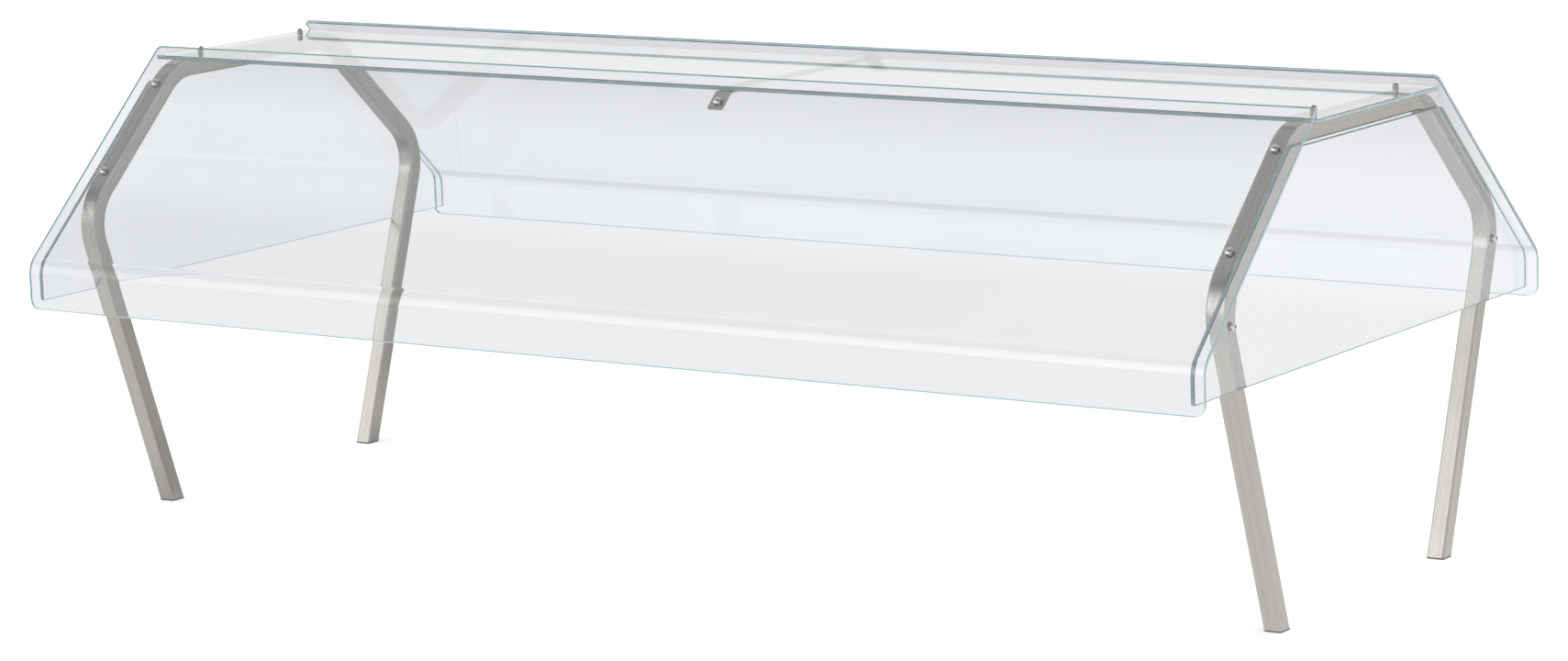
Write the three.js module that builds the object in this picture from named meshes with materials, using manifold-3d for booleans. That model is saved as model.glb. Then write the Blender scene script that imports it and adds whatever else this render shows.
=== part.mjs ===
// A free-standing double-sided sneeze guard: two bent stainless tube frames carry clear sheets on both
// slopes, across the top and at both ends. Millimetres, +Z up. The origin is at counter level, in the
// middle of the guard. X runs along the guard and Y from the front to the rear.
import * as THREE from "three";
import { mergeVertices } from "three/addons/utils/BufferGeometryUtils.js";
import Module from "manifold-3d";

const wasm = await Module();
wasm.setup();

// Frames. The spreads are between tube centrelines, front to rear.
const frameSpacing = 1860;
const footSpread = 468;
const kneeSpread = 772;
const kneeHeight = 450;
const cornerSpread = 364;
const barTop = 650;
const tubeSize = 25.4;
const tubeWall = 1.5;
const tubeCorner = 3;
const bendRadius = 76;

// Clear sheets.
const overallLength = 1930;
const overallDepth = 960;
const sheet = 6;
const shelfSheet = 6;
const endSheet = 6;
const rimRise = 22;
const lipDrop = 64;
const lipBend = 30;
const lowerCorner = 15;
const upperCorner = 8;
const endDrop = 27;
const endLift = 13;
const endCorner = 4;

// Centre strap.
const strapPlace = 62;
const strapWidth = 25.4;
const strapThickness = 2;
const strapBend = 4;
const tabLength = 31;
const tabHole = 18;

// Fasteners.
const screwRadius = 3;
const screwChamfer = 0.6;
const headRadius = 6;
const headHeight = 3.4;
const headRim = 0.8;
const socketRadius = 2.1;
const socketDepth = 1.7;
const upperScrewPlace = 39;
const lowerScrewPlace = 70;
const endScrewDrop = 29;
const nutLength = 14;
const nutWall = 1.1;
const nutReserve = 1;
const collarRadius = 5.8;
const collarLength = 2;
const collarTaper = 1;
const capNutAcross = 10;
const capNutHeight = 6;
const capNutDome = 5;
const capNutStep = 0.4;
const capNutRoot = 1;
const pinRadius = 4;
const pinPlace = 116;
const pinRise = 9.5;
const pinDepth = 14;
const pinDomeHeight = 3.2;
const pinChamfer = 0.8;

// Foot plugs.
const soleThickness = 1.5;
const plugLength = 26;

// Clearances.
const gap = 0.3;
const holeClearance = 0.5;
const edgeGap = 1;

const bendSteps = 10;
const cornerSteps = 3;
const roundSteps = 14;
const headSteps = 3;
const domeSteps = 4;
const far = 4000;

const finishes = {
  stainless: { color: 0xb4b2ac, roughness: 0.38, metalness: 1 },
  polished: { color: 0xc9c8c4, roughness: 0.18, metalness: 1 },
  zinc: { color: 0xa8a79f, roughness: 0.35, metalness: 1 },
  clear: {
    color: 0xdfeaec,
    roughness: 0.04,
    metalness: 0,
    transparent: true,
    opacity: 0.3,
  },
  plastic: { color: 0x2b2c2d, roughness: 0.6, metalness: 0 },
};

const guard = new THREE.Group();

// ---- Geometry helpers -------------------------------------------------------------------------

function point(x, y) {
  return new THREE.Vector2(x, y);
}

// A point reached from start by going a distance along a direction.
function along(start, direction, distance) {
  return start.clone().addScaledVector(direction, distance);
}

// The direction turned a quarter to its right: outwards from a line that climbs over the rear half.
function rightOf(direction) {
  return point(direction.y, -direction.x);
}

// Where two lines cross, each given by a point and a direction.
function meeting(p, u, q, v) {
  const s = q.clone().sub(p).cross(v) / u.cross(v);
  return along(p, u, s);
}

// Places along a line through corners, each rounded to its radius: a position and the way the line
// runs there. Straight stretches take no places of their own.
function rounded(corners, stepsPerQuarter, closed = false) {
  const places = [];
  const count = corners.length;
  corners.forEach((corner, i) => {
    const before = corners[(i + count - 1) % count];
    const after = corners[(i + 1) % count];
    const arrive = corner.at.clone().sub(before.at).normalize();
    const leave = after.at.clone().sub(corner.at).normalize();
    if (!closed && i === 0) {
      places.push({ at: corner.at, way: leave });
      return;
    }
    if (!closed && i === count - 1) {
      places.push({ at: corner.at, way: arrive });
      return;
    }
    const turn = Math.atan2(arrive.cross(leave), arrive.dot(leave));
    const inset = corner.radius * Math.tan(Math.abs(turn) / 2);
    const first = along(corner.at, arrive, -inset);
    const centre = along(first, rightOf(arrive), -Math.sign(turn) * corner.radius);
    const steps = Math.max(2, Math.round((stepsPerQuarter * Math.abs(turn)) / (Math.PI / 2)));
    for (let k = 0; k <= steps; k++) {
      const angle = (turn * k) / steps;
      places.push({
        at: first.clone().rotateAround(centre, angle),
        way: arrive.clone().rotateAround(point(0, 0), angle),
      });
    }
  });
  return places;
}

// The outline of a strip of even thickness along rounded places.
function stripOutline(places, thickness) {
  const right = places.map((p) => along(p.at, rightOf(p.way), thickness / 2));
  const left = places.map((p) => along(p.at, rightOf(p.way), -thickness / 2));
  return right.concat(left.reverse());
}

function roundedRectangle(width, height, radius, steps = cornerSteps) {
  const w = width / 2;
  const h = height / 2;
  const corners = [point(-w, -h), point(w, -h), point(w, h), point(-w, h)];
  return rounded(
    corners.map((at) => ({ at, radius })),
    steps,
    true,
  ).map((p) => p.at);
}

// A flat outline in (y, z), extruded along X about the middle.
function extrudeAlongX(outline, width) {
  const geometry = new THREE.ExtrudeGeometry(new THREE.Shape(outline), {
    depth: width,
    bevelEnabled: false,
  });
  geometry.translate(0, 0, -width / 2);
  return geometry.applyMatrix4(
    new THREE.Matrix4().makeBasis(
      new THREE.Vector3(0, 1, 0),
      new THREE.Vector3(0, 0, 1),
      new THREE.Vector3(1, 0, 0),
    ),
  );
}

// A profile of radius and height turned about Z.
function turned(profile, steps = roundSteps) {
  return new THREE.LatheGeometry(
    profile.map(([r, z]) => point(r, z)),
    steps,
  ).rotateX(Math.PI / 2);
}

// A round cutter about Z that runs between two heights.
function rod(radius, low, high, steps = roundSteps) {
  return new THREE.CylinderGeometry(radius, radius, high - low, steps)
    .rotateX(Math.PI / 2)
    .translate(0, 0, (low + high) / 2);
}

// The rotation that turns +Z to a direction.
function facing(direction) {
  return new THREE.Quaternion().setFromUnitVectors(new THREE.Vector3(0, 0, 1), direction);
}

// A geometry moved to a position with its +Z along a direction.
function placed(geometry, position, direction) {
  return geometry.clone().applyQuaternion(facing(direction)).translate(...position.toArray());
}

function solid(geometry) {
  const bare = geometry.clone();
  bare.deleteAttribute("normal");
  bare.deleteAttribute("uv");
  const merged = mergeVertices(bare, 1e-4);
  return new wasm.Manifold(
    new wasm.Mesh({
      numProp: 3,
      vertProperties: merged.attributes.position.array,
      triVerts: new Uint32Array(merged.index.array),
    }),
  );
}

function geometryOf(body) {
  const mesh = body.getMesh();
  const geometry = new THREE.BufferGeometry();
  geometry.setAttribute("position", new THREE.BufferAttribute(mesh.vertProperties, 3));
  geometry.setIndex(new THREE.BufferAttribute(mesh.triVerts, 1));
  const faceted = geometry.toNonIndexed();
  faceted.computeVertexNormals();
  return faceted;
}

function cut(geometry, cutters) {
  return geometryOf(cutters.reduce((body, c) => body.subtract(solid(c)), solid(geometry)));
}

function add(name, geometry, finish) {
  const mesh = new THREE.Mesh(geometry, new THREE.MeshStandardMaterial(finishes[finish]));
  mesh.name = name;
  guard.add(mesh);
  return mesh;
}

// ---- Side view of the rear half, in (y, z) ----------------------------------------------------

const foot = point(footSpread / 2, 0);
const knee = point(kneeSpread / 2, kneeHeight);
const corner = point(cornerSpread / 2, barTop - tubeSize / 2);
const legWay = knee.clone().sub(foot).normalize();
const slopeWay = corner.clone().sub(knee).normalize();
const slopeOut = rightOf(slopeWay);

// Distances outwards from the slope's centreline.
const tubeFace = tubeSize / 2;
const innerFace = tubeFace + gap;
const outerFace = innerFace + sheet;
const middleFace = (innerFace + outerFace) / 2;

// Where the middle of a slope panel turns upright, and the heights that follow from it, from the
// knee's and from the bar's.
const lipMiddle = overallDepth / 2 - sheet / 2;
const lipTurn = meeting(along(knee, slopeOut, middleFace), slopeWay, point(lipMiddle, 0), point(0, 1));
const lipBottom = lipTurn.y - lipDrop;
const endBottom = lipBottom + endLift;
const endTop = barTop - endDrop;
const rimHeight = barTop + rimRise;
const endScrewHeight = kneeHeight - endScrewDrop;

function mirrored(p) {
  return point(-p.x, p.y);
}

// The tube's centreline, from the front foot over the top to the rear foot.
function frameLine(footPoint) {
  const rear = [footPoint, knee, corner];
  const all = [...rear].map(mirrored).concat([...rear].reverse());
  const bends = all.map((at) => ({ at, radius: bendRadius }));
  return rounded(bends, bendSteps);
}

const centreline = frameLine(foot);

// The centreline's distance from the middle at a height on the rear leg.
function legAt(height) {
  const i = centreline.findLastIndex((p) => p.at.y > height);
  const high = centreline[i].at;
  const low = centreline[i + 1].at;
  return high.clone().lerp(low, (high.y - height) / (high.y - low.y)).x;
}

// ---- Places of the fasteners ------------------------------------------------------------------

const ends = [
  { name: "left", x: -1 },
  { name: "right", x: 1 },
];
const sides = [
  { name: "front", y: -1 },
  { name: "rear", y: 1 },
];
const slopeScrews = [
  { name: "upper", at: along(corner, slopeWay, -upperScrewPlace) },
  { name: "lower", at: along(knee, slopeWay, lowerScrewPlace) },
];

// A point of the side view, carried to a place along the guard and to the front or the rear.
function space(x, at, side) {
  return new THREE.Vector3(x, side * at.x, at.y);
}

// The strap's bend, at the middle of its thickness.
const strapLevel = barTop - strapThickness / 2;
const strapCorner = meeting(
  point(0, strapLevel),
  point(1, 0),
  along(knee, slopeOut, tubeFace - strapThickness / 2),
  slopeWay,
);
const tabScrew = along(strapCorner, slopeWay, -tabHole);

// ---- Frames -----------------------------------------------------------------------------------

// A path given by its places, so that a sweep takes its steps in the bends.
class PlacedPath extends THREE.Curve {
  constructor(places) {
    super();
    this.places = places;
  }

  blend(t, key) {
    const reach = t * (this.places.length - 1);
    const i = Math.min(Math.floor(reach), this.places.length - 2);
    const v = this.places[i][key].clone().lerp(this.places[i + 1][key], reach - i);
    return new THREE.Vector3(0, v.x, v.y);
  }

  getPoint(t) {
    return this.blend(t, "at");
  }

  getPointAt(t) {
    return this.blend(t, "at");
  }

  getTangentAt(t) {
    return this.blend(t, "way").normalize();
  }
}

function sweep(outline, hole, places) {
  const shape = new THREE.Shape(outline);
  if (hole) shape.holes.push(new THREE.Path(hole));
  return new THREE.ExtrudeGeometry(shape, {
    steps: places.length - 1,
    extrudePath: new PlacedPath(places),
  });
}

// One frame about its own X = 0, with the side that carries the end panel facing outward.
function frameGeometry(outward) {
  const below = along(foot, legWay, -tubeSize);
  const tube = sweep(
    roundedRectangle(tubeSize, tubeSize, tubeCorner),
    roundedRectangle(tubeSize - 2 * tubeWall, tubeSize - 2 * tubeWall, tubeCorner - tubeWall),
    frameLine(below),
  );
  const nutHole = rod(screwRadius + gap + nutWall + gap, -tubeSize / 2, tubeSize);
  const floor = new THREE.BoxGeometry(far, far, far);
  floor.translate(0, 0, soleThickness + gap - far / 2);
  const cutters = [floor];
  for (const side of sides) {
    const out = new THREE.Vector3(0, side.y * slopeOut.x, slopeOut.y);
    for (const screw of slopeScrews) {
      cutters.push(placed(nutHole, space(0, along(screw.at, slopeOut, tubeFace), side.y), out));
    }
    const sideways = new THREE.Vector3(outward, 0, 0);
    const end = point(legAt(endScrewHeight), endScrewHeight);
    cutters.push(placed(nutHole, space(outward * tubeFace, end, side.y), sideways));
    const pinHole = rod(pinRadius + gap, barTop - tubeSize / 2, barTop + tubeSize);
    cutters.push(pinHole.translate(0, side.y * pinPlace, 0));
  }
  return cut(tube, cutters);
}

// A plastic plug that closes a foot: a sole under the tube's end and a block up inside it.
function plugGeometry(side) {
  const inside = tubeSize - 2 * tubeWall - 2 * gap;
  const radius = Math.max(tubeCorner - tubeWall, gap);
  const low = along(foot, legWay, -plugLength);
  const high = along(foot, legWay, plugLength);
  const block = sweep(roundedRectangle(inside, inside, radius), null, [
    { at: low, way: legWay },
    { at: high, way: legWay },
  ]);
  const sole = new THREE.ExtrudeGeometry(
    new THREE.Shape(roundedRectangle(tubeSize, tubeSize / legWay.y, tubeCorner)),
    { depth: soleThickness, bevelEnabled: false },
  ).translate(0, foot.x, 0);
  const floor = new THREE.BoxGeometry(far, far, far).translate(0, 0, soleThickness / 2 - far / 2);
  const plug = solid(block).subtract(solid(floor)).add(solid(sole));
  return geometryOf(plug).rotateZ(side > 0 ? 0 : Math.PI);
}

for (const end of ends) {
  const x = (end.x * frameSpacing) / 2;
  add(end.name + "_frame", frameGeometry(end.x), "stainless").position.x = x;
  for (const side of sides) {
    const name = "foot_plug_" + side.name + "_" + end.name;
    add(name, plugGeometry(side.y), "plastic").position.x = x;
  }
}

// ---- Front and rear panels --------------------------------------------------------------------

// A prism with a rounded rectangle for its outline, wide along X and tall along a second direction.
function trimPrism(low, high, radius, up) {
  const w = overallLength / 2;
  const corners = [point(-w, low), point(w, low), point(w, high), point(-w, high)];
  const line = corners.map((at) => ({ at, radius }));
  const outline = rounded(line, bendSteps, true).map((p) => p.at);
  const geometry = new THREE.ExtrudeGeometry(new THREE.Shape(outline), {
    depth: far,
    bevelEnabled: false,
  }).translate(0, 0, -far / 2);
  const x = new THREE.Vector3(1, 0, 0);
  return geometry.applyMatrix4(new THREE.Matrix4().makeBasis(x, up, x.clone().cross(up)));
}

// The rear panel about the origin, with its strap hole at a place along X.
function slopePanelGeometry(strapX) {
  const rimReach = (rimHeight - knee.y - slopeOut.y * outerFace) / slopeWay.y;
  const start = along(along(knee, slopeOut, middleFace), slopeWay, rimReach);
  const line = [
    { at: start },
    { at: lipTurn, radius: lipBend + sheet / 2 },
    { at: point(lipMiddle, lipBottom) },
  ];
  const places = rounded(line, bendSteps);
  const strip = solid(extrudeAlongX(stripOutline(places, sheet), overallLength + 2 * sheet));
  const slopeUp = new THREE.Vector3(0, slopeWay.x, slopeWay.y);
  const rim = start.dot(slopeWay);
  const lowerTrim = trimPrism(lipBottom, lipBottom + far / 2, lowerCorner, new THREE.Vector3(0, 0, 1));
  const upperTrim = trimPrism(rim - far / 2, rim, upperCorner, slopeUp);
  let panel = strip.intersect(solid(lowerTrim)).intersect(solid(upperTrim));
  const hole = rod(screwRadius + holeClearance, -2 * sheet, 2 * sheet);
  const out = new THREE.Vector3(0, slopeOut.x, slopeOut.y);
  for (const end of ends) {
    for (const screw of slopeScrews) {
      const at = space((end.x * frameSpacing) / 2, along(screw.at, slopeOut, middleFace), 1);
      panel = panel.subtract(solid(placed(hole, at, out)));
    }
  }
  const strapHole = along(tabScrew, slopeOut, strapThickness / 2 + gap + sheet / 2);
  panel = panel.subtract(solid(placed(hole, space(strapX, strapHole, 1), out)));
  return geometryOf(panel);
}

add("front_panel", slopePanelGeometry(-strapPlace), "clear").rotation.z = Math.PI;
add("rear_panel", slopePanelGeometry(strapPlace), "clear");

// ---- Top panel --------------------------------------------------------------------------------

const shelfBottom = barTop + gap;
const shelfTop = shelfBottom + shelfSheet;
const shelfEdge = meeting(
  point(0, shelfTop),
  point(1, 0),
  along(knee, slopeOut, innerFace - edgeGap),
  slopeWay,
);
const shelf = new THREE.ExtrudeGeometry(
  new THREE.Shape(roundedRectangle(overallLength, 2 * shelfEdge.x, upperCorner, bendSteps)),
  { depth: shelfSheet, bevelEnabled: false },
).translate(0, 0, shelfBottom);
const shelfHoles = [];
for (const end of ends) {
  for (const side of sides) {
    const hole = rod(pinRadius + holeClearance, barTop, shelfTop + shelfSheet);
    shelfHoles.push(hole.translate((end.x * frameSpacing) / 2, side.y * pinPlace, 0));
  }
}
add("top_panel", cut(shelf, shelfHoles), "clear");

// ---- End panels -------------------------------------------------------------------------------

function endPanelGeometry() {
  const edge = along(knee, slopeOut, innerFace - edgeGap);
  const lip = point(overallDepth / 2 - sheet - edgeGap, 0);
  const top = meeting(point(0, endTop), point(1, 0), edge, slopeWay);
  const bend = meeting(edge, slopeWay, lip, point(0, 1));
  const half = [
    { at: point(lip.x, endBottom), radius: endCorner },
    { at: bend, radius: lipBend - edgeGap },
    { at: top, radius: endCorner },
  ];
  const otherHalf = [...half].reverse().map((c) => ({ at: mirrored(c.at), radius: c.radius }));
  const outline = rounded(half.concat(otherHalf), bendSteps, true).map((p) => p.at);
  const hole = rod(screwRadius + holeClearance, -2 * endSheet, 2 * endSheet);
  const holes = sides.map((side) => {
    const at = space(0, point(legAt(endScrewHeight), endScrewHeight), side.y);
    return placed(hole, at, new THREE.Vector3(1, 0, 0));
  });
  return cut(extrudeAlongX(outline, endSheet), holes);
}

const endFace = frameSpacing / 2 + tubeFace + gap + endSheet;
for (const end of ends) {
  const panel = add(end.name + "_end_panel", endPanelGeometry(), "clear");
  panel.position.x = end.x * (endFace - endSheet / 2);
}

// ---- Centre strap -----------------------------------------------------------------------------

function strapGeometry() {
  const tabEnd = along(strapCorner, slopeWay, -tabLength);
  const half = [tabEnd, strapCorner];
  const line = half.map(mirrored).concat([...half].reverse());
  const radius = strapBend + strapThickness / 2;
  const bends = line.map((at) => ({ at, radius }));
  const places = rounded(bends, bendSteps);
  const strip = extrudeAlongX(stripOutline(places, strapThickness), strapWidth);
  const hole = rod(screwRadius + holeClearance, -2 * strapThickness, 2 * strapThickness);
  const holes = sides.map((side) => {
    const out = new THREE.Vector3(0, side.y * slopeOut.x, slopeOut.y);
    return placed(hole, space(0, tabScrew, side.y), out);
  });
  return cut(strip, holes);
}

add("centre_strap", strapGeometry(), "stainless").position.x = strapPlace;

// ---- Fasteners --------------------------------------------------------------------------------

// A button-head screw with its bearing face at z = 0, its shank below and a socket in its head.
function screwGeometry(length) {
  const crown = headHeight - headRim;
  const sphere = (headRadius * headRadius + crown * crown) / (2 * crown);
  const dome = [];
  for (let k = 1; k <= headSteps; k++) {
    const r = headRadius + ((socketRadius - headRadius) * k) / headSteps;
    dome.push([r, headHeight - sphere + Math.sqrt(sphere * sphere - r * r)]);
  }
  const socketFloor = headHeight - socketDepth;
  return turned([
    [0, -length],
    [screwRadius - screwChamfer, -length],
    [screwRadius, -length + screwChamfer],
    [screwRadius, 0],
    [headRadius, 0],
    [headRadius, headRim],
    ...dome,
    [socketRadius, socketFloor],
    [0, socketFloor],
  ]);
}

// A rivet nut set in a tube wall: its top is flush with the tube's face at z = 0.
function rivetNutGeometry() {
  const bore = screwRadius + gap;
  const body = bore + nutWall;
  const collarTop = -tubeWall - gap;
  const collarLow = collarTop - collarLength;
  return turned([
    [bore, -nutLength],
    [body, -nutLength],
    [body, collarLow - collarTaper],
    [collarRadius, collarLow],
    [collarRadius, collarTop],
    [body, collarTop],
    [body, 0],
    [bore, 0],
    [bore, -nutLength],
  ]);
}

// A hexagon cap nut that hangs below z = 0 with a blind bore.
function capNutGeometry() {
  const hexRadius = capNutAcross / 2 / Math.cos(Math.PI / 6);
  const hex = rod(hexRadius, -capNutHeight, 0, 6);
  const domeRadius = capNutAcross / 2 - capNutStep;
  const root = -capNutHeight + capNutRoot;
  const dome = [
    [0, root],
    [domeRadius, root],
  ];
  for (let k = 0; k <= domeSteps; k++) {
    const angle = (k / domeSteps) * (Math.PI / 2);
    const z = -capNutHeight - capNutDome * Math.sin(angle);
    dome.push([k === domeSteps ? 0 : domeRadius * Math.cos(angle), z]);
  }
  const bore = rod(screwRadius + gap, -capNutHeight - capNutDome / 2, capNutHeight);
  return geometryOf(
    solid(hex)
      .add(solid(turned(dome.reverse())))
      .subtract(solid(bore)),
  );
}

function pinGeometry() {
  const shoulder = shelfTop + pinRise - pinDomeHeight;
  const dome = [];
  for (let k = 0; k <= domeSteps; k++) {
    const angle = (k / domeSteps) * (Math.PI / 2);
    const z = shoulder + pinDomeHeight * Math.sin(angle);
    dome.push([k === domeSteps ? 0 : pinRadius * Math.cos(angle), z]);
  }
  const low = barTop - pinDepth;
  return turned([[0, low], [pinRadius - pinChamfer, low], [pinRadius, low + pinChamfer], ...dome]);
}

function addFastener(name, geometry, finish, position, direction) {
  const mesh = add(name, geometry, finish);
  mesh.position.copy(position);
  mesh.quaternion.copy(facing(direction));
}

const slopeScrewLength = sheet + 2 * gap + nutLength - nutReserve;
const endScrewLength = endSheet + 2 * gap + nutLength - nutReserve;
const tabScrewLength = sheet + 3 * gap + strapThickness + capNutHeight;

for (const side of sides) {
  const out = new THREE.Vector3(0, side.y * slopeOut.x, slopeOut.y);
  for (const end of ends) {
    const x = (end.x * frameSpacing) / 2;
    const place = side.name + "_" + end.name;
    for (const screw of slopeScrews) {
      const head = space(x, along(screw.at, slopeOut, outerFace + gap), side.y);
      const nut = space(x, along(screw.at, slopeOut, tubeFace), side.y);
      const label = place + "_" + screw.name;
      addFastener("slope_screw_" + label, screwGeometry(slopeScrewLength), "polished", head, out);
      addFastener("slope_nut_" + label, rivetNutGeometry(), "zinc", nut, out);
    }
    const sideways = new THREE.Vector3(end.x, 0, 0);
    const at = point(legAt(endScrewHeight), endScrewHeight);
    const head = space(end.x * (endFace + gap), at, side.y);
    const nut = space(x + end.x * tubeFace, at, side.y);
    addFastener("end_screw_" + place, screwGeometry(endScrewLength), "polished", head, sideways);
    addFastener("end_nut_" + place, rivetNutGeometry(), "zinc", nut, sideways);
    const pin = add("locating_pin_" + place, pinGeometry(), "polished");
    pin.position.set(x, side.y * pinPlace, 0);
  }
  const tabOut = strapThickness / 2 + gap + sheet + gap;
  const head = space(strapPlace, along(tabScrew, slopeOut, tabOut), side.y);
  const nut = space(strapPlace, along(tabScrew, slopeOut, -strapThickness / 2 - gap), side.y);
  addFastener("strap_screw_" + side.name, screwGeometry(tabScrewLength), "polished", head, out);
  addFastener("strap_nut_" + side.name, capNutGeometry(), "polished", nut, out);
}

export default guard;
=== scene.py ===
"""The looks of a free-standing double-sided sneeze guard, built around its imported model.

Two bent square tubes stand at the ends. They carry clear sheets on both slopes, across the top and
at both ends, a strap under the top sheet, and the screws, nuts, pins and foot plugs that hold it
together.
Metres, +Z up, X along the guard, Y from the front to the rear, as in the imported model.
"""

import logging
import math
from abc import ABC, abstractmethod
from collections.abc import Callable, Iterable, Sequence
from dataclasses import dataclass
from enum import Enum
from functools import cache
from typing import ClassVar

import bmesh
import bpy
from mathutils import Matrix, Vector


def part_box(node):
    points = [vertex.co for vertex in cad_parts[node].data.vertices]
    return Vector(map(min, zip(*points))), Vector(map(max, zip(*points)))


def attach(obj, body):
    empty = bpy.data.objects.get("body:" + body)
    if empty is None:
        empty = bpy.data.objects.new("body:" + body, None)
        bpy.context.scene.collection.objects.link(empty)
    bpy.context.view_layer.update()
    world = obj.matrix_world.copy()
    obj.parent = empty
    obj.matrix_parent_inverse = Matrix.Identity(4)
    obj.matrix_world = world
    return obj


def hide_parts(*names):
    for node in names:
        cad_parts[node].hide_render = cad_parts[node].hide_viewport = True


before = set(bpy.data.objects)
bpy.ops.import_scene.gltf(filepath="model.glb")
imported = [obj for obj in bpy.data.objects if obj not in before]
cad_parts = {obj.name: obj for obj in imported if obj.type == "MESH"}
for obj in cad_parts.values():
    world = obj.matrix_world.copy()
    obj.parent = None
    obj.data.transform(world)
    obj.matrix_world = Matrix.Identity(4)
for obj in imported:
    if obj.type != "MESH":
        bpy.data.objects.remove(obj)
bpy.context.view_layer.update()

log = logging.getLogger("sneeze_guard")

BODY = "root"
GRAIN_MAP = "Grain"

MM = 0.001
TINY = 1e-6
QUARTER = math.pi / 2
UP = Vector((0, 0, 1))
ACROSS = Vector((1, 0, 0))

# Sizes that several parts share.
WALL = 1.5 * MM
TUBE_CORNER = 3 * MM
LIP_BEND = 30 * MM
PLAY = 0.3 * MM

# How finely outlines are rounded, and from what angle an edge is rounded or stays sharp.
CORNER_STEPS = 8
ROUNDED_FROM = math.radians(50)
SHARP_FROM = math.radians(35)

# The range that most of a noise texture's values keep to, and acrylic's index of refraction.
NOISE_RANGE = (0.3, 0.7)
SHEET_IOR = 1.49

Colour = tuple[float, float, float, float]
Range = tuple[float, float]
Stops = tuple[Range, ...]
Profile = Sequence[tuple[float, float]]
Measure = Callable[[Vector, Vector], tuple[float, float]]
Socket = bpy.types.NodeSocket


class End(Enum):
    """The two ends of the guard, with the sign of X there."""

    LEFT = -1
    RIGHT = 1


class Side(Enum):
    """The two long sides of the guard, with the sign of Y there."""

    FRONT = -1
    REAR = 1


class Height(Enum):
    """The two screws of one slope on one frame."""

    UPPER = 1
    LOWER = -1


class Slot(Enum):
    """The record's material slots."""

    TUBE = "tube"
    SHEET = "clear_sheet"
    STRAP = "strap"
    SCREW = "screw"
    PIN = "pin"
    NUT = "rivet_nut"
    PLUG = "plug"


class Growth(Enum):
    """Which way a surface grows when it gets its thickness."""

    INWARDS = -1
    BOTH_WAYS = 0
    OUTWARDS = 1


class Work(Enum):
    """What a tool does to a piece: cuts its shape out, is welded on, or trims what is outside."""

    CUT = "DIFFERENCE"
    WELD = "UNION"
    TRIM = "INTERSECT"


def tag(*options: Enum) -> str:
    """Returns the words of a node's name that say which end, side or height it is at."""
    return "_".join(option.name for option in options).lower()


def box_of(node: str) -> tuple[Vector, Vector]:
    """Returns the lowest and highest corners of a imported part."""
    low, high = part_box(node)
    return Vector(low), Vector(high)


# ---- Lines and places ---------------------------------------------------------------------------


def left_of(way: Vector) -> Vector:
    """Returns a direction in the side view turned a quarter to its left."""
    return Vector((-way.y, way.x))


def meeting(p: Vector, u: Vector, q: Vector, v: Vector) -> Vector:
    """Finds where two lines of the side view cross.

    Args:
        p: A point of the first line.
        u: The first line's direction.
        q: A point of the second line.
        v: The second line's direction.

    Returns:
        The crossing.
    """
    return p + u * ((q - p).cross(v) / u.cross(v))


def in_space(x: float, at: Vector, side: Side = Side.REAR) -> Vector:
    """Returns a point or direction of the rear side view, carried to a place and a side."""
    return Vector((x, side.value * at.x, at.y))


def in_front(points: Iterable[Vector]) -> list[Vector]:
    """Returns points of the rear side view, mirrored to the front."""
    return [Vector((-p.x, p.y)) for p in points]


@dataclass(frozen=True)
class Stretch:
    """A straight run, or a bend when turn isn't zero, of a line in the side view."""

    start: Vector
    way: Vector
    length: float
    turn: float = 0.0

    @property
    def radius(self) -> float:
        """The bend's radius."""
        return self.length / abs(self.turn)

    @property
    def centre(self) -> Vector:
        """The bend's centre."""
        return self.start + left_of(self.way) * math.copysign(self.radius, self.turn)

    def measure(self, point: Vector) -> tuple[float, float]:
        """Measures a point against this stretch.

        Args:
            point: A point of the side view.

        Returns:
            How far along the stretch the point lies, and how far to the left of it.
        """
        if not self.turn:
            leg = point - self.start
            return leg.dot(self.way), leg.dot(left_of(self.way))
        arm, first = point - self.centre, self.start - self.centre
        angle = math.atan2(first.cross(arm), first.dot(arm))
        side = math.copysign(1.0, self.turn)
        return angle * side * self.radius, side * (self.radius - arm.length)


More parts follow.
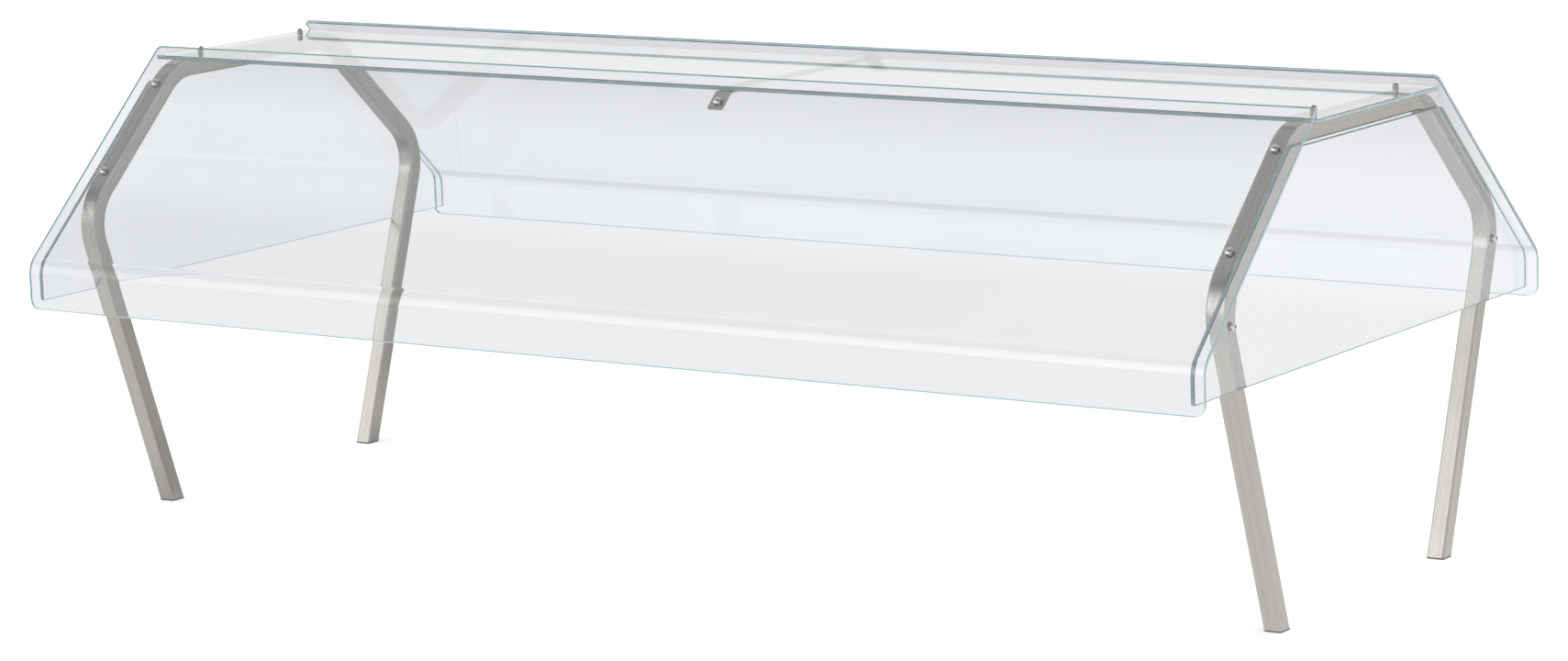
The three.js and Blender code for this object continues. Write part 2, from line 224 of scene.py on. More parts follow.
@dataclass(frozen=True)
class Line:
    """A line of straight runs and bends in the side view."""

    stretches: tuple[Stretch, ...]

    @classmethod
    def through(cls, corners: Sequence[tuple[Vector, float]]) -> "Line":
        """Lays a line through corners.

        Args:
            corners: Each corner's point and bend radius. The first and last are the line's ends.

        Returns:
            The line.
        """
        made: list[Stretch] = []
        at = corners[0][0]
        for (before, _), (corner, radius), (after, _) in zip(corners, corners[1:], corners[2:]):
            arrive = (corner - before).normalized()
            leave = (after - corner).normalized()
            turn = math.atan2(arrive.cross(leave), arrive.dot(leave))
            inset = radius * math.tan(abs(turn) / 2)
            first = corner - arrive * inset
            made.append(Stretch(at, arrive, (first - at).length))
            made.append(Stretch(first, arrive, radius * abs(turn), turn))
            at = corner + leave * inset
        last = corners[-1][0]
        made.append(Stretch(at, (last - at).normalized(), (last - at).length))
        return cls(tuple(made))

    def sweep(self, bm: bmesh.types.BMesh, quarter_steps: int, least_steps: int = 3) -> None:
        """Drives everything in a mesh along the line.

        Args:
            bm: A mesh that holds one face or one row of edges, at the line's start.
            quarter_steps: Steps in a bend of a quarter turn.
            least_steps: The least steps in a bend.
        """
        moving = bm.verts[:] + bm.edges[:] + bm.faces[:]
        for part in self.stretches:
            steps, shift, centre = 1, part.way * part.length, part.start
            if part.turn:
                steps = max(least_steps, round(quarter_steps * abs(part.turn) / QUARTER))
                shift, centre = Vector((0, 0)), part.centre
            moving = bmesh.ops.spin(
                bm,
                geom=moving,
                cent=in_space(0, centre),
                axis=ACROSS,
                dvec=in_space(0, shift),
                angle=part.turn,
                steps=steps,
            )["geom_last"]

    def measure(self, point: Vector) -> tuple[float, float]:
        """Measures a point against the nearest stretch.

        Args:
            point: A point of the side view.

        Returns:
            How far along the line the point lies, and how far to the left of it.
        """
        best, found, before = math.inf, (0.0, 0.0), 0.0
        for part in self.stretches:
            reach, left = part.measure(point)
            stray = max(-reach, reach - part.length, 0.0) + abs(left)
            if stray < best - TINY:
                best, found = stray, (before + reach, left)
            before += part.length
        return found


@dataclass(frozen=True)
class SideView:
    """The rear half of the guard, seen from its right end: the tube's centreline and its lines."""

    tube: float
    bar_top: float
    foot_spread: float = 0.468
    knee_spread: float = 0.772
    knee_height: float = 0.450
    corner_spread: float = 0.364
    bend_radius: float = 0.076

    @classmethod
    def packed(cls) -> "SideView":
        """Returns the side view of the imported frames."""
        low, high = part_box("left_frame")
        return cls(tube=high[0] - low[0], bar_top=high[2])

    @property
    def foot(self) -> Vector:
        """Where the leg's centreline meets the counter."""
        return Vector((self.foot_spread / 2, 0))

    @property
    def knee(self) -> Vector:
        """Where the centrelines of the leg and the slope cross."""
        return Vector((self.knee_spread / 2, self.knee_height))

    @property
    def corner(self) -> Vector:
        """Where the centrelines of the slope and the top bar cross."""
        return Vector((self.corner_spread / 2, self.bar_top - self.tube / 2))

    @property
    def leg_way(self) -> Vector:
        """The direction up the leg."""
        return (self.knee - self.foot).normalized()

    @property
    def slope_way(self) -> Vector:
        """The direction up the slope."""
        return (self.corner - self.knee).normalized()

    @property
    def slope_out(self) -> Vector:
        """The direction straight out of the slope."""
        return -left_of(self.slope_way)

    def out(self, side: Side) -> Vector:
        """Returns the direction straight out of a side's slope."""
        return in_space(0, self.slope_out, side)

    def beside_slope(self, offset: float) -> Vector:
        """Returns a point of the line at a distance outwards from the slope's centreline."""
        return self.knee + self.slope_out * offset


@dataclass(frozen=True)
class Seat:
    """Where a turned part sits: a point on its axis, the axis, and its reach each way from it."""

    point: Vector
    axis: Vector
    low: float
    high: float

    @classmethod
    def of(cls, node: str, axis: Vector) -> "Seat":
        """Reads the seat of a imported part.

        Args:
            node: The part's node.
            axis: The direction of its axis, which its head faces.

        Returns:
            Its seat.
        """
        digits = 6
        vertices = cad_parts[node].data.vertices
        corners = {tuple(round(c, digits) for c in v.co) for v in vertices}
        places = [Vector(c) for c in sorted(corners)]
        middle = sum(places, Vector((0, 0, 0))) / len(places)
        reach = [(p - middle).dot(axis) for p in places]
        return cls(middle, axis, min(reach), max(reach))

    @property
    def length(self) -> float:
        """The part's length along its axis."""
        return self.high - self.low

    def matrix(self, level: float) -> Matrix:
        """Returns the transform that carries z = 0 to a level of the axis and +Z along it."""
        turn = UP.rotation_difference(self.axis).to_matrix().to_4x4()
        return Matrix.Translation(self.point + self.axis * level) @ turn


# ---- Shaping ------------------------------------------------------------------------------------


def make_piece(name: str, bm: bmesh.types.BMesh) -> bpy.types.Object:
    """Turns a finished mesh into an object in the scene.

    Args:
        name: The object's name.
        bm: Its mesh, which is freed.

    Returns:
        The object.
    """
    mesh = bpy.data.meshes.new(name)
    bm.to_mesh(mesh)
    bm.free()
    piece = bpy.data.objects.new(name, mesh)
    bpy.context.scene.collection.objects.link(piece)
    return piece


def tidy(bm: bmesh.types.BMesh) -> None:
    """Merges what coincides and turns every face outwards."""
    bmesh.ops.remove_doubles(bm, verts=bm.verts[:], dist=TINY)
    bmesh.ops.recalc_face_normals(bm, faces=bm.faces[:])


def settle(piece: bpy.types.Object) -> None:
    """Applies every modifier of a piece."""
    graph = bpy.context.evaluated_depsgraph_get()
    rough = piece.data
    name = rough.name
    piece.data = bpy.data.meshes.new_from_object(
        piece.evaluated_get(graph), preserve_all_data_layers=True, depsgraph=graph
    )
    piece.modifiers.clear()
    bpy.data.meshes.remove(rough)
    piece.data.name = name


def round_corners(
    bm: bmesh.types.BMesh, corners: Iterable[bmesh.types.BMVert], inset: float
) -> None:
    """Rounds corners of a flat outline.

    Args:
        bm: The mesh.
        corners: The corners.
        inset: How far from each corner the rounding starts.
    """
    bmesh.ops.bevel(
        bm,
        geom=list(corners),
        offset=inset,
        offset_type="OFFSET",
        affect="VERTICES",
        segments=CORNER_STEPS,
        profile=0.5,
        material=-1,
    )


def soft_square(bm: bmesh.types.BMesh, width: float, depth: float, radius: float) -> None:
    """Adds a flat rectangle with rounded corners about the origin, facing +Z.

    Args:
        bm: An empty mesh.
        width: Its size in X.
        depth: Its size in Y.
        radius: Its corner radius.
    """
    bmesh.ops.create_grid(bm, x_segments=1, y_segments=1, size=0.5)
    bmesh.ops.scale(bm, vec=(width, depth, 1), verts=bm.verts[:])
    round_corners(bm, bm.verts[:], radius)


def stand_across(bm: bmesh.types.BMesh, at: Vector, way: Vector) -> None:
    """Moves a flat section from the origin to a point of the side view, square to a direction.

    Args:
        bm: The mesh that holds the section.
        at: The point of the side view.
        way: The direction that the section's +Z takes.
    """
    turn = Matrix.Rotation(math.atan2(-way.x, way.y), 4, "X")
    place = Matrix.Translation(in_space(0, at)) @ turn
    bmesh.ops.transform(bm, matrix=place, verts=bm.verts[:])


def edge_across(bm: bmesh.types.BMesh, width: float, at: Vector) -> None:
    """Adds one edge along X, centred on a point of the side view.

    Args:
        bm: An empty mesh.
        width: The edge's length.
        at: The point of the side view.
    """
    ends = [bm.verts.new(in_space(sign * width / 2, at)) for sign in (-1, 1)]
    bm.edges.new(ends)


def turned(name: str, profile: Profile, steps: int, closed: bool = False) -> bpy.types.Object:
    """Turns a profile about Z into a closed piece.

    Args:
        name: The piece's name.
        profile: Radius and height of each point, from one end to the other.
        steps: Steps round the piece.
        closed: True where the profile's last point joins its first.

    Returns:
        The piece.
    """
    bm = bmesh.new()
    places = [bm.verts.new((radius, 0, height)) for radius, height in profile]
    links = list(zip(places, places[1:]))
    if closed:
        links.append((places[-1], places[0]))
    edges = [bm.edges.new(link) for link in links]
    bmesh.ops.spin(
        bm,
        geom=places + edges,
        cent=(0, 0, 0),
        axis=UP,
        dvec=(0, 0, 0),
        angle=4 * QUARTER,
        steps=steps,
        use_merge=True,
    )
    tidy(bm)
    return make_piece(name, bm)


def rod(bm: bmesh.types.BMesh, radius: float, length: float, steps: int, place: Matrix) -> None:
    """Adds a closed rod with flat sides.

    Args:
        bm: The mesh.
        radius: Its radius, out to the corners between its sides.
        length: Its length.
        steps: How many sides it has.
        place: The transform of its middle, whose +Z is its axis.
    """
    bmesh.ops.create_cone(
        bm,
        cap_ends=True,
        segments=steps,
        radius1=radius,
        radius2=radius,
        depth=length,
        matrix=place,
    )


def hexagon_radius(across: float) -> float:
    """Returns the radius of a hexagon's corners from its size across flats."""
    return across / 2 / math.cos(math.pi / 6)


def arc(
    centre: tuple[float, float], radius: float, start: float, stop: float, steps: int
) -> list[tuple[float, float]]:
    """Returns the points of an arc.

    Args:
        centre: The arc's centre.
        radius: Its radius.
        start: The angle of its first point.
        stop: The angle of its last point.
        steps: How many steps it takes.

    Returns:
        The points, both ends among them.
    """
    angles = [start + (stop - start) * k / steps for k in range(steps + 1)]
    return [(centre[0] + radius * math.cos(a), centre[1] + radius * math.sin(a)) for a in angles]


def thicken(piece: bpy.types.Object, thickness: float, growth: Growth, rim: int = 0) -> None:
    """Gives a surface its thickness.

    Args:
        piece: The surface.
        thickness: The thickness.
        growth: Which way it grows.
        rim: How many material slots further the rim's material is.
    """
    wall = piece.modifiers.new("wall", "SOLIDIFY")
    wall.thickness = thickness
    wall.offset = growth.value
    wall.use_even_offset = True
    wall.material_offset_rim = rim
    settle(piece)


def round_edges(piece: bpy.types.Object, width: float, segments: int, slot: int = -1) -> None:
    """Rounds every sharp edge.

    Args:
        piece: The piece.
        width: How far from the edge the rounding starts.
        segments: Steps in the rounding.
        slot: The material slot that the roundings take, or -1 for that of their faces.
    """
    soft = piece.modifiers.new("round", "BEVEL")
    soft.width = width
    soft.segments = segments
    soft.limit_method = "ANGLE"
    soft.angle_limit = ROUNDED_FROM
    soft.material = slot
    settle(piece)


def combine(piece: bpy.types.Object, tool: bpy.types.Object, how: Work) -> None:
    """Cuts or trims a piece by a tool, or welds the two, and removes the tool.

    Args:
        piece: The piece.
        tool: The tool.
        how: What the tool does.
    """
    work = piece.modifiers.new("tool", "BOOLEAN")
    work.operation = how.value
    work.solver = "EXACT"
    work.object = tool
    settle(piece)
    mesh = tool.data
    bpy.data.objects.remove(tool)
    bpy.data.meshes.remove(mesh)


@dataclass(frozen=True)
class Drill:
    """A round hole: its radius, how deep it goes each way from its seat, and its steps round."""

    radius: float
    depth: float
    steps: int = 32

    def drill(self, piece: bpy.types.Object, places: Iterable[Matrix]) -> None:
        """Drills a piece.

        Args:
            piece: The piece.
            places: The transform of each hole, whose +Z is the hole's axis.
        """
        bm = bmesh.new()
        for place in places:
            rod(bm, self.radius, 2 * self.depth, self.steps, place)
        combine(piece, make_piece("drill", bm), Work.CUT)


def shade(piece: bpy.types.Object) -> None:
    """Shades a piece smooth, keeps its sharp edges, and lets its broad faces stay flat."""
    piece.data.shade_smooth()
    piece.data.set_sharp_from_angle(angle=SHARP_FROM)
    weigh = piece.modifiers.new("flats", "WEIGHTED_NORMAL")
    weigh.keep_sharp = True
    settle(piece)


def lay_grain(piece: bpy.types.Object, measure: Measure) -> None:
    """Gives a piece a UV map that follows its grain, in metres.

    Args:
        piece: The piece.
        measure: Takes a corner's place and its face's normal and returns its place in the map.
    """
    mesh = piece.data
    grain = mesh.uv_layers.new(name=GRAIN_MAP)
    for face in mesh.polygons:
        for i in face.loop_indices:
            place = mesh.vertices[mesh.loops[i].vertex_index].co
            grain.data[i].uv = measure(place, face.normal)


def present(
    piece: bpy.types.Object,
    slot: Slot,
    nodes: Sequence[str],
    finishes: Sequence[bpy.types.Material],
) -> None:
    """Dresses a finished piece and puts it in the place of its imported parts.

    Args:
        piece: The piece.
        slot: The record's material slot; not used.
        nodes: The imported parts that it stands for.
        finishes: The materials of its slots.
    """
    if not piece.data.materials:
        for finish in finishes:
            piece.data.materials.append(finish)
    else:
        for i, finish in enumerate(finishes):
            piece.data.materials[i] = finish
    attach(piece, BODY)
    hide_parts(*nodes)
    log.info("%s: %d faces", piece.name, len(piece.data.polygons))


# ---- Shader trees -------------------------------------------------------------------------------


@dataclass(frozen=True)
class Tree:
    """A node tree that is filled node by node."""

    tree: bpy.types.NodeTree

    def node(
        self, kind: str, feeds: dict[str | int, object] | None = None, **settings: object
    ) -> bpy.types.Node:
        """Adds a node.

        Args:
            kind: The node's type, without its ShaderNode prefix.
            feeds: What each input gets: a socket to link, or a value.
            settings: The node's own settings.

        Returns:
            The node.
        """
        made = self.tree.nodes.new("ShaderNode" + kind)
        for key, value in settings.items():
            setattr(made, key, value)
        for key, value in (feeds or {}).items():
            if isinstance(value, Socket):
                self.tree.links.new(value, made.inputs[key])
            else:
                made.inputs[key].default_value = value
        return made

    def maths(self, operation: str, *values: object, clamp: bool = False) -> Socket:
        """Adds a Math node.

        Args:
            operation: What it does.
            values: Its inputs in order, sockets or numbers.
            clamp: True to keep its result between 0 and 1.

        Returns:
            Its result.
        """
        feeds = dict(enumerate(values))
        return self.node("Math", feeds, operation=operation, use_clamp=clamp).outputs[0]

    def vectors(self, operation: str, *values: object) -> bpy.types.Node:
        """Adds a Vector Math node on its inputs in order, and returns it."""
        return self.node("VectorMath", dict(enumerate(values)), operation=operation)

    def along(self, place: Socket, way: tuple[float, float, float]) -> Socket:
        """Returns how far a place lies along a direction."""
        return self.vectors("DOT_PRODUCT", place, way).outputs["Value"]

    def dimmed(self, light: Socket, share: Socket) -> Socket:
        """Returns a light scaled by a share."""
        return self.node("VectorMath", {0: light, "Scale": share}, operation="SCALE").outputs[0]

    def noise(self, place: Socket, scale: object, detail: float, distortion: float = 0.0) -> Socket:
        """Adds a noise texture.

        Args:
            place: Its coordinates.
            scale: Its scale, a number or a socket.
            detail: Its detail.
            distortion: How far it is twisted.

        Returns:
            Its values.
        """
        feeds = {"Vector": place, "Scale": scale, "Detail": detail, "Distortion": distortion}
        return self.node("TexNoise", feeds).outputs[0]

    def spread(
        self, mask: Socket, low: float, high: float, start: float = 0.0, stop: float = 1.0
    ) -> Socket:
        """Maps a mask to a range.

        Args:
            mask: The mask.
            low: What it becomes at start.
            high: What it becomes at stop.
            start: Where the range begins.
            stop: Where the range ends.

        Returns:
            The mapped value.
        """
        feeds = {"Value": mask, "From Min": start, "From Max": stop, "To Min": low, "To Max": high}
        return self.node("MapRange", feeds).outputs[0]

    def blend(self, mask: Socket, first: object, second: object) -> Socket:
        """Mixes two colours.

        Args:
            mask: How much of the second shows.
            first: A colour or a socket.
            second: A colour or a socket.

        Returns:
            The mixed colour.
        """
        return self.node("Mix", {0: mask, 6: first, 7: second}, data_type="RGBA").outputs[2]

    def bump(self, height: Socket, strength: float, distance: float) -> Socket:
        """Returns the normals that a height gives."""
        feeds = {"Strength": strength, "Distance": distance, "Height": height}
        return self.node("Bump", feeds).outputs[0]

    def on_piece(self) -> Socket:
        """Returns the piece's own coordinates."""
        return self.node("TexCoord").outputs["Object"]

    def on_grain(self) -> Socket:
        """Returns the coordinates of the piece's grain."""
        return self.node("UVMap", uv_map=GRAIN_MAP).outputs[0]

    def worn(self, place: Socket, reach: float, patches: float) -> Socket:
        """Returns the mask of edge wear, from its reach and the scale of its patches."""
        feeds = {"Vector": place, "Radius": reach, "Patches": patches}
        return self.node("Group", feeds, node_tree=wear_group()).outputs[0]

    def handled(self, place: Socket, smears: float, streaks: float) -> Socket:
        """Returns the mask of handling marks, from the scales of its smears and streaks."""
        feeds = {"Vector": place, "Smears": smears, "Streaks": streaks}
        return self.node("Group", feeds, node_tree=marks_group()).outputs[0]

    def principled(self, feeds: dict[str, object]) -> Socket:
        """Returns the material's Principled shader."""
        return self.node("BsdfPrincipled", feeds).outputs[0]

    def as_seen(self, bare: Socket, behind: Socket, mirrored: Socket) -> Socket:
        """Shows one shader to the eye and plain surfaces, one through sheets, and one in mirrors.

        Args:
            bare: The shader that is seen with nothing in between.
            behind: The shader that is seen through clear sheets.
            mirrored: The shader that is mirrored.

        Returns:
            The three together.
        """
        path = self.node("LightPath").outputs
        through = self.maths("MINIMUM", path["Transmission Depth"], 1.0)
        mirror = self.maths("MINIMUM", path["Glossy Depth"], 1.0)
        seen = self.node("MixShader", {0: through, 1: bare, 2: behind}).outputs[0]
        return self.node("MixShader", {0: mirror, 1: seen, 2: mirrored}).outputs[0]


Given = bpy.types.bpy_prop_collection


def start_group(
    name: str, inputs: dict[str, str], outputs: Sequence[str]
) -> tuple[Tree, Given, Given]:
    """Starts a node group.

    Args:
        name: The group's name.
        inputs: The kind of each input, Vector or Float, by name.
        outputs: The names of its outputs, all values.

    Returns:
        The group's tree, the sockets that give its inputs, and those that take its outputs.
    """
    tree = bpy.data.node_groups.new(name, "ShaderNodeTree")
    for label, kind in inputs.items():
        tree.interface.new_socket(label, in_out="INPUT", socket_type="NodeSocket" + kind)
    for label in outputs:
        tree.interface.new_socket(label, in_out="OUTPUT", socket_type="NodeSocketFloat")
    given, result = tree.nodes.new("NodeGroupInput"), tree.nodes.new("NodeGroupOutput")
    return Tree(tree), given.outputs, result.inputs


@cache
def grain_group() -> bpy.types.NodeTree:
    """Returns the group of brushed lines: fine scratches, and slow bands in them."""
    inputs = {"Vector": "Vector", "Along": "Float", "Across": "Float"}
    t, given, result = start_group("Brushed grain", inputs, ("Scratches", "Bands"))
    band_share = 0.045
    for label, share, detail in (("Scratches", 1.0, 3.0), ("Bands", band_share, 2.0)):
        along = t.maths("MULTIPLY", given["Along"], share)
        across = t.maths("MULTIPLY", given["Across"], share)
        stretch = t.node("CombineXYZ", {"X": along, "Y": across, "Z": across}).outputs[0]
        place = t.vectors("MULTIPLY", given["Vector"], stretch).outputs[0]
        t.tree.links.new(t.noise(place, 1.0, detail), result[label])
    return t.tree


@cache
def wear_group() -> bpy.types.NodeTree:
    """Returns the group of edge wear: edges that handling and wiping have polished."""
    inputs = {"Vector": "Vector", "Radius": "Float", "Patches": "Float"}
    t, given, result = start_group("Edge wear", inputs, ("Mask",))
    sharpest, flattest = 0.8, 0.99
    least_wear = 0.35
    soft = t.node("Bevel", {"Radius": given["Radius"]}, samples=4).outputs[0]
    true = t.node("NewGeometry").outputs["Normal"]
    edge = t.spread(t.along(soft, true), 1.0, 0.0, sharpest, flattest)
    patches = t.noise(given["Vector"], given["Patches"], 3.0)
    patchy = t.spread(patches, least_wear, 1.0, 0.35, 0.65)
    t.tree.links.new(t.maths("MULTIPLY", edge, patchy, clamp=True), result["Mask"])
    return t.tree


@cache
def marks_group() -> bpy.types.NodeTree:
    """Returns the group of handling marks: broad smears with fine wiping streaks in them."""
    inputs = {"Vector": "Vector", "Smears": "Float", "Streaks": "Float"}
    t, given, result = start_group("Handling marks", inputs, ("Mask",))
    lean, pull = (0.0, 0.35, 0.5), (1.0, 7.0, 7.0)
    twist = 1.2
    least_streak = 0.3
    place = given["Vector"]
    smears = t.spread(t.noise(place, given["Smears"], 3.0, twist), 0.0, 1.0, 0.42, 0.68)
    wiped = t.node("Mapping", {"Vector": place, "Rotation": lean, "Scale": pull}).outputs[0]
    streaks = t.spread(t.noise(wiped, given["Streaks"], 4.0), least_streak, 1.0, 0.35, 0.7)
    t.tree.links.new(t.maths("MULTIPLY", smears, streaks, clamp=True), result["Mask"])
    return t.tree


# ---- Finishes -----------------------------------------------------------------------------------


class Finish(ABC):
    """A finish, which becomes one material of its name."""

    name: str

    @abstractmethod
    def fill(self, t: Tree) -> dict[str, Socket]:
        """Adds the finish's nodes to a material's empty tree and returns what its output gets."""

    def material(self) -> bpy.types.Material:
        """Builds the finish and returns it."""
        material = bpy.data.materials.new(self.name)
        material.use_nodes = True
        material.node_tree.nodes.clear()
        t = Tree(material.node_tree)
        t.node("OutputMaterial", self.fill(t))
        return material


@dataclass(frozen=True)
class BrushedMetal(Finish):
    """Stainless steel with a brushed grain along the piece's own map."""

    name: str
    pale: Colour = (0.58, 0.56, 0.53, 1)
    dark: Colour = (0.44, 0.425, 0.40, 1)
    polished: Colour = (0.72, 0.71, 0.69, 1)
    least_roughness: float = 0.2
    most_roughness: float = 0.36
    smear_roughness: float = 0.07
    along: float = 22.0
    across: float = 2600.0
    scratch_share: float = 0.6
    band_share: float = 0.4
    grain_strength: float = 0.5
    grain_depth: float = 0.006 * MM
    edge: float = 0.9 * MM
    edge_patches: float = 60.0
    edge_wear: float = 0.55
    smears: float = 14.0
    streaks: float = 90.0

    def fill(self, t: Tree) -> dict[str, Socket]:
        """Adds the steel's nodes and returns its surface."""
        place = t.on_piece()
        feeds = {"Vector": t.on_grain(), "Along": self.along, "Across": self.across}
        grain = t.node("Group", feeds, node_tree=grain_group()).outputs
        scratches = grain["Scratches"]
        fine = t.maths("MULTIPLY", scratches, self.scratch_share)
        tone = t.maths("ADD", fine, t.maths("MULTIPLY", grain["Bands"], self.band_share))
        metal = t.blend(t.spread(tone, 0.0, 1.0, *NOISE_RANGE), self.dark, self.pale)
        worn = t.maths("MULTIPLY", t.worn(place, self.edge, self.edge_patches), self.edge_wear)
        marks = t.handled(place, self.smears, self.streaks)
        rough = t.spread(scratches, self.least_roughness, self.most_roughness, *NOISE_RANGE)
        smeared = t.maths("ADD", rough, t.maths("MULTIPLY", marks, self.smear_roughness))
        feeds = {
            "Base Color": t.blend(worn, metal, self.polished),
            "Metallic": 1.0,
            "Roughness": smeared,
            "Normal": t.bump(scratches, self.grain_strength, self.grain_depth),
        }
        return {"Surface": t.principled(feeds)}


@dataclass(frozen=True)
class TurnedMetal(Finish):
    """Bright metal with fine turning marks round the piece and soft tarnish."""

    name: str
    pale: Colour = (0.78, 0.77, 0.75, 1)
    dark: Colour = (0.55, 0.54, 0.52, 1)
    polished: Colour = (0.9, 0.89, 0.87, 1)
    roughness: float = 0.14
    tarnish: float = 0.12
    grain: float = 5200.0
    grain_share: float = 0.3
    grain_strength: float = 0.3
    grain_depth: float = 0.004 * MM
    edge: float = 0.35 * MM
    edge_patches: float = 500.0
    edge_wear: float = 0.5
    smears: float = 240.0
    streaks: float = 900.0

    def fill(self, t: Tree) -> dict[str, Socket]:
        """Adds the metal's nodes and returns its surface."""
        place = t.on_piece()
        fine = t.noise(place, self.grain, 2.0)
        marks = t.handled(place, self.smears, self.streaks)
        dull = t.maths("ADD", marks, t.maths("MULTIPLY", fine, self.grain_share), clamp=True)
        worn = t.maths("MULTIPLY", t.worn(place, self.edge, self.edge_patches), self.edge_wear)
        feeds = {
            "Base Color": t.blend(worn, t.blend(dull, self.pale, self.dark), self.polished),
            "Metallic": 1.0,
            "Roughness": t.spread(dull, self.roughness, self.roughness + self.tarnish),
            "Normal": t.bump(fine, self.grain_strength, self.grain_depth),
        }
        return {"Surface": t.principled(feeds)}


@dataclass(frozen=True)
class ClearSheet(Finish):
    """A clear sheet, green-blue inside, with the faint marks that wiping leaves on its faces."""

    name: str
    tint: Colour = (0.985, 0.99, 0.995, 1)
    marked: Colour = (0.970225, 0.97515, 0.980075, 1)
    least_roughness: float = 0.004
    smear_roughness: float = 0.03
    smears: float = 3.0
    streaks: float = 24.0
    wave: float = 5.0
    wave_strength: float = 0.4
    wave_depth: float = 0.02 * MM
    shine: float = 0.38
    lit: Colour = (0.985, 0.988, 0.99, 1)
    inside: Colour = (0.45, 0.88, 0.88, 1)
    density: float = 2.0

    def fill(self, t: Tree) -> dict[str, Socket]:
        """Adds the sheet's nodes and returns its surface and its inside."""
        place = t.on_piece()
        marks = t.handled(place, self.smears, self.streaks)
        most_roughness = self.least_roughness + self.smear_roughness
        wave = t.noise(place, self.wave, 1.0)
        feeds = {
            "Base Color": t.blend(marks, self.tint, self.marked),
            "Roughness": t.spread(marks, self.least_roughness, most_roughness),
            "IOR": SHEET_IOR,
            "Transmission Weight": 1.0,
            "Specular IOR Level": self.shine,
            "Normal": t.bump(wave, self.wave_strength, self.wave_depth),
        }
        casts = t.node("LightPath").outputs["Is Shadow Ray"]
        lets_by = t.node("BsdfTransparent", {"Color": self.lit}).outputs[0]
        surface = t.node("MixShader", {0: casts, 1: t.principled(feeds), 2: lets_by}).outputs[0]
        body = t.node("VolumeAbsorption", {"Color": self.inside, "Density": self.density})
        return {"Surface": surface, "Volume": body.outputs[0]}


@dataclass(frozen=True)
class SheetEdge(Finish):
    """The edge of a clear sheet: deep blue-green, with painted pale light where it faces down or is
    seen from inside.
    """

    name: str
    outer: Colour
    # Painted light: the pale colour that edge faces take where they point down or are seen from
    # inside the sheet.
    painted_pale_light: Colour = (0.86, 0.89, 0.90, 1)
    clearness: float = 0.3
    variation: float = 1.15
    polish: float = 40.0
    least_roughness: float = 0.15
    most_roughness: float = 0.28
    # Painted light: how far down an edge face leans before it is painted fully pale.
    painted_light_below: float = -0.35

    def fill(self, t: Tree) -> dict[str, Socket]:
        """Adds the edge's nodes and returns its surface."""
        polish = t.noise(t.on_piece(), self.polish, 3.0)
        paler = tuple(min(1.0, c * self.variation) for c in self.outer)
        deep = t.blend(t.spread(polish, 0.0, 1.0, 0.35, 0.65), self.outer, paler)
        shape = t.node("NewGeometry").outputs
        height = t.node("SeparateXYZ", {0: shape["Normal"]}).outputs["Z"]
        # Painted light: faces that point down, and faces seen from inside the sheet, are painted
        # pale over the blue-green.
        upper = t.blend(t.spread(height, 1.0, 0.0, self.painted_light_below, 0.0), deep, self.painted_pale_light)
        feeds = {
            "Base Color": t.blend(shape["Backfacing"], upper, self.painted_pale_light),
            "Roughness": t.spread(polish, self.least_roughness, self.most_roughness, *NOISE_RANGE),
            "IOR": SHEET_IOR,
            "Transmission Weight": self.clearness,
        }
        return {"Surface": t.principled(feeds)}


@dataclass(frozen=True)
class MouldedPlastic(Finish):
    """Dark moulded plastic with a fine spark-eroded skin and scuffed edges."""

    name: str
    colour: Colour = (0.022, 0.023, 0.025, 1)
    scuffed: Colour = (0.10, 0.10, 0.105, 1)
    least_roughness: float = 0.48
    most_roughness: float = 0.66
    skin: float = 3800.0
    skin_strength: float = 0.6
    skin_depth: float = 0.03 * MM
    edge: float = 0.6 * MM
    edge_patches: float = 260.0

    def fill(self, t: Tree) -> dict[str, Socket]:
        """Adds the plastic's nodes and returns its surface."""
        place = t.on_piece()
        skin = t.noise(place, self.skin, 3.0)
        worn = t.worn(place, self.edge, self.edge_patches)
        feeds = {
            "Base Color": t.blend(worn, self.colour, self.scuffed),
            "Roughness": t.spread(skin, self.least_roughness, self.most_roughness, *NOISE_RANGE),
            "Normal": t.bump(skin, self.skin_strength, self.skin_depth),
        }
        return {"Surface": t.principled(feeds)}


Finishes = dict[Slot, list[bpy.types.Material]]


def mix_finishes() -> Finishes:
    """Builds every finish of the guard and returns them by slot."""
    pin = TurnedMetal(
        "Turned pin", pale=(0.46, 0.45, 0.44, 1), dark=(0.2, 0.195, 0.19, 1), roughness=0.2
    )
    zinc = TurnedMetal(
        "Zinc plate", pale=(0.62, 0.62, 0.58, 1), dark=(0.4, 0.4, 0.36, 1), roughness=0.3
    )
    recipes: dict[Slot, list[Finish]] = {
        Slot.TUBE: [BrushedMetal("Brushed tube")],
        Slot.STRAP: [BrushedMetal("Brushed strap", across=3200.0, edge=0.5 * MM)],
        Slot.SCREW: [TurnedMetal("Polished screw")],
        Slot.PIN: [pin],
        Slot.NUT: [zinc],
        Slot.PLUG: [MouldedPlastic("Moulded plug")],
        Slot.SHEET: [
            ClearSheet("Clear sheet"),
            SheetEdge("Sheet edge", outer=(0.44, 0.57, 0.59, 1)),
            SheetEdge("Sheet arris", outer=(0.66, 0.76, 0.78, 1), clearness=0.75),
        ],
    }
    return {slot: [finish.material() for finish in made] for slot, made in recipes.items()}


# ---- Parts --------------------------------------------------------------------------------------


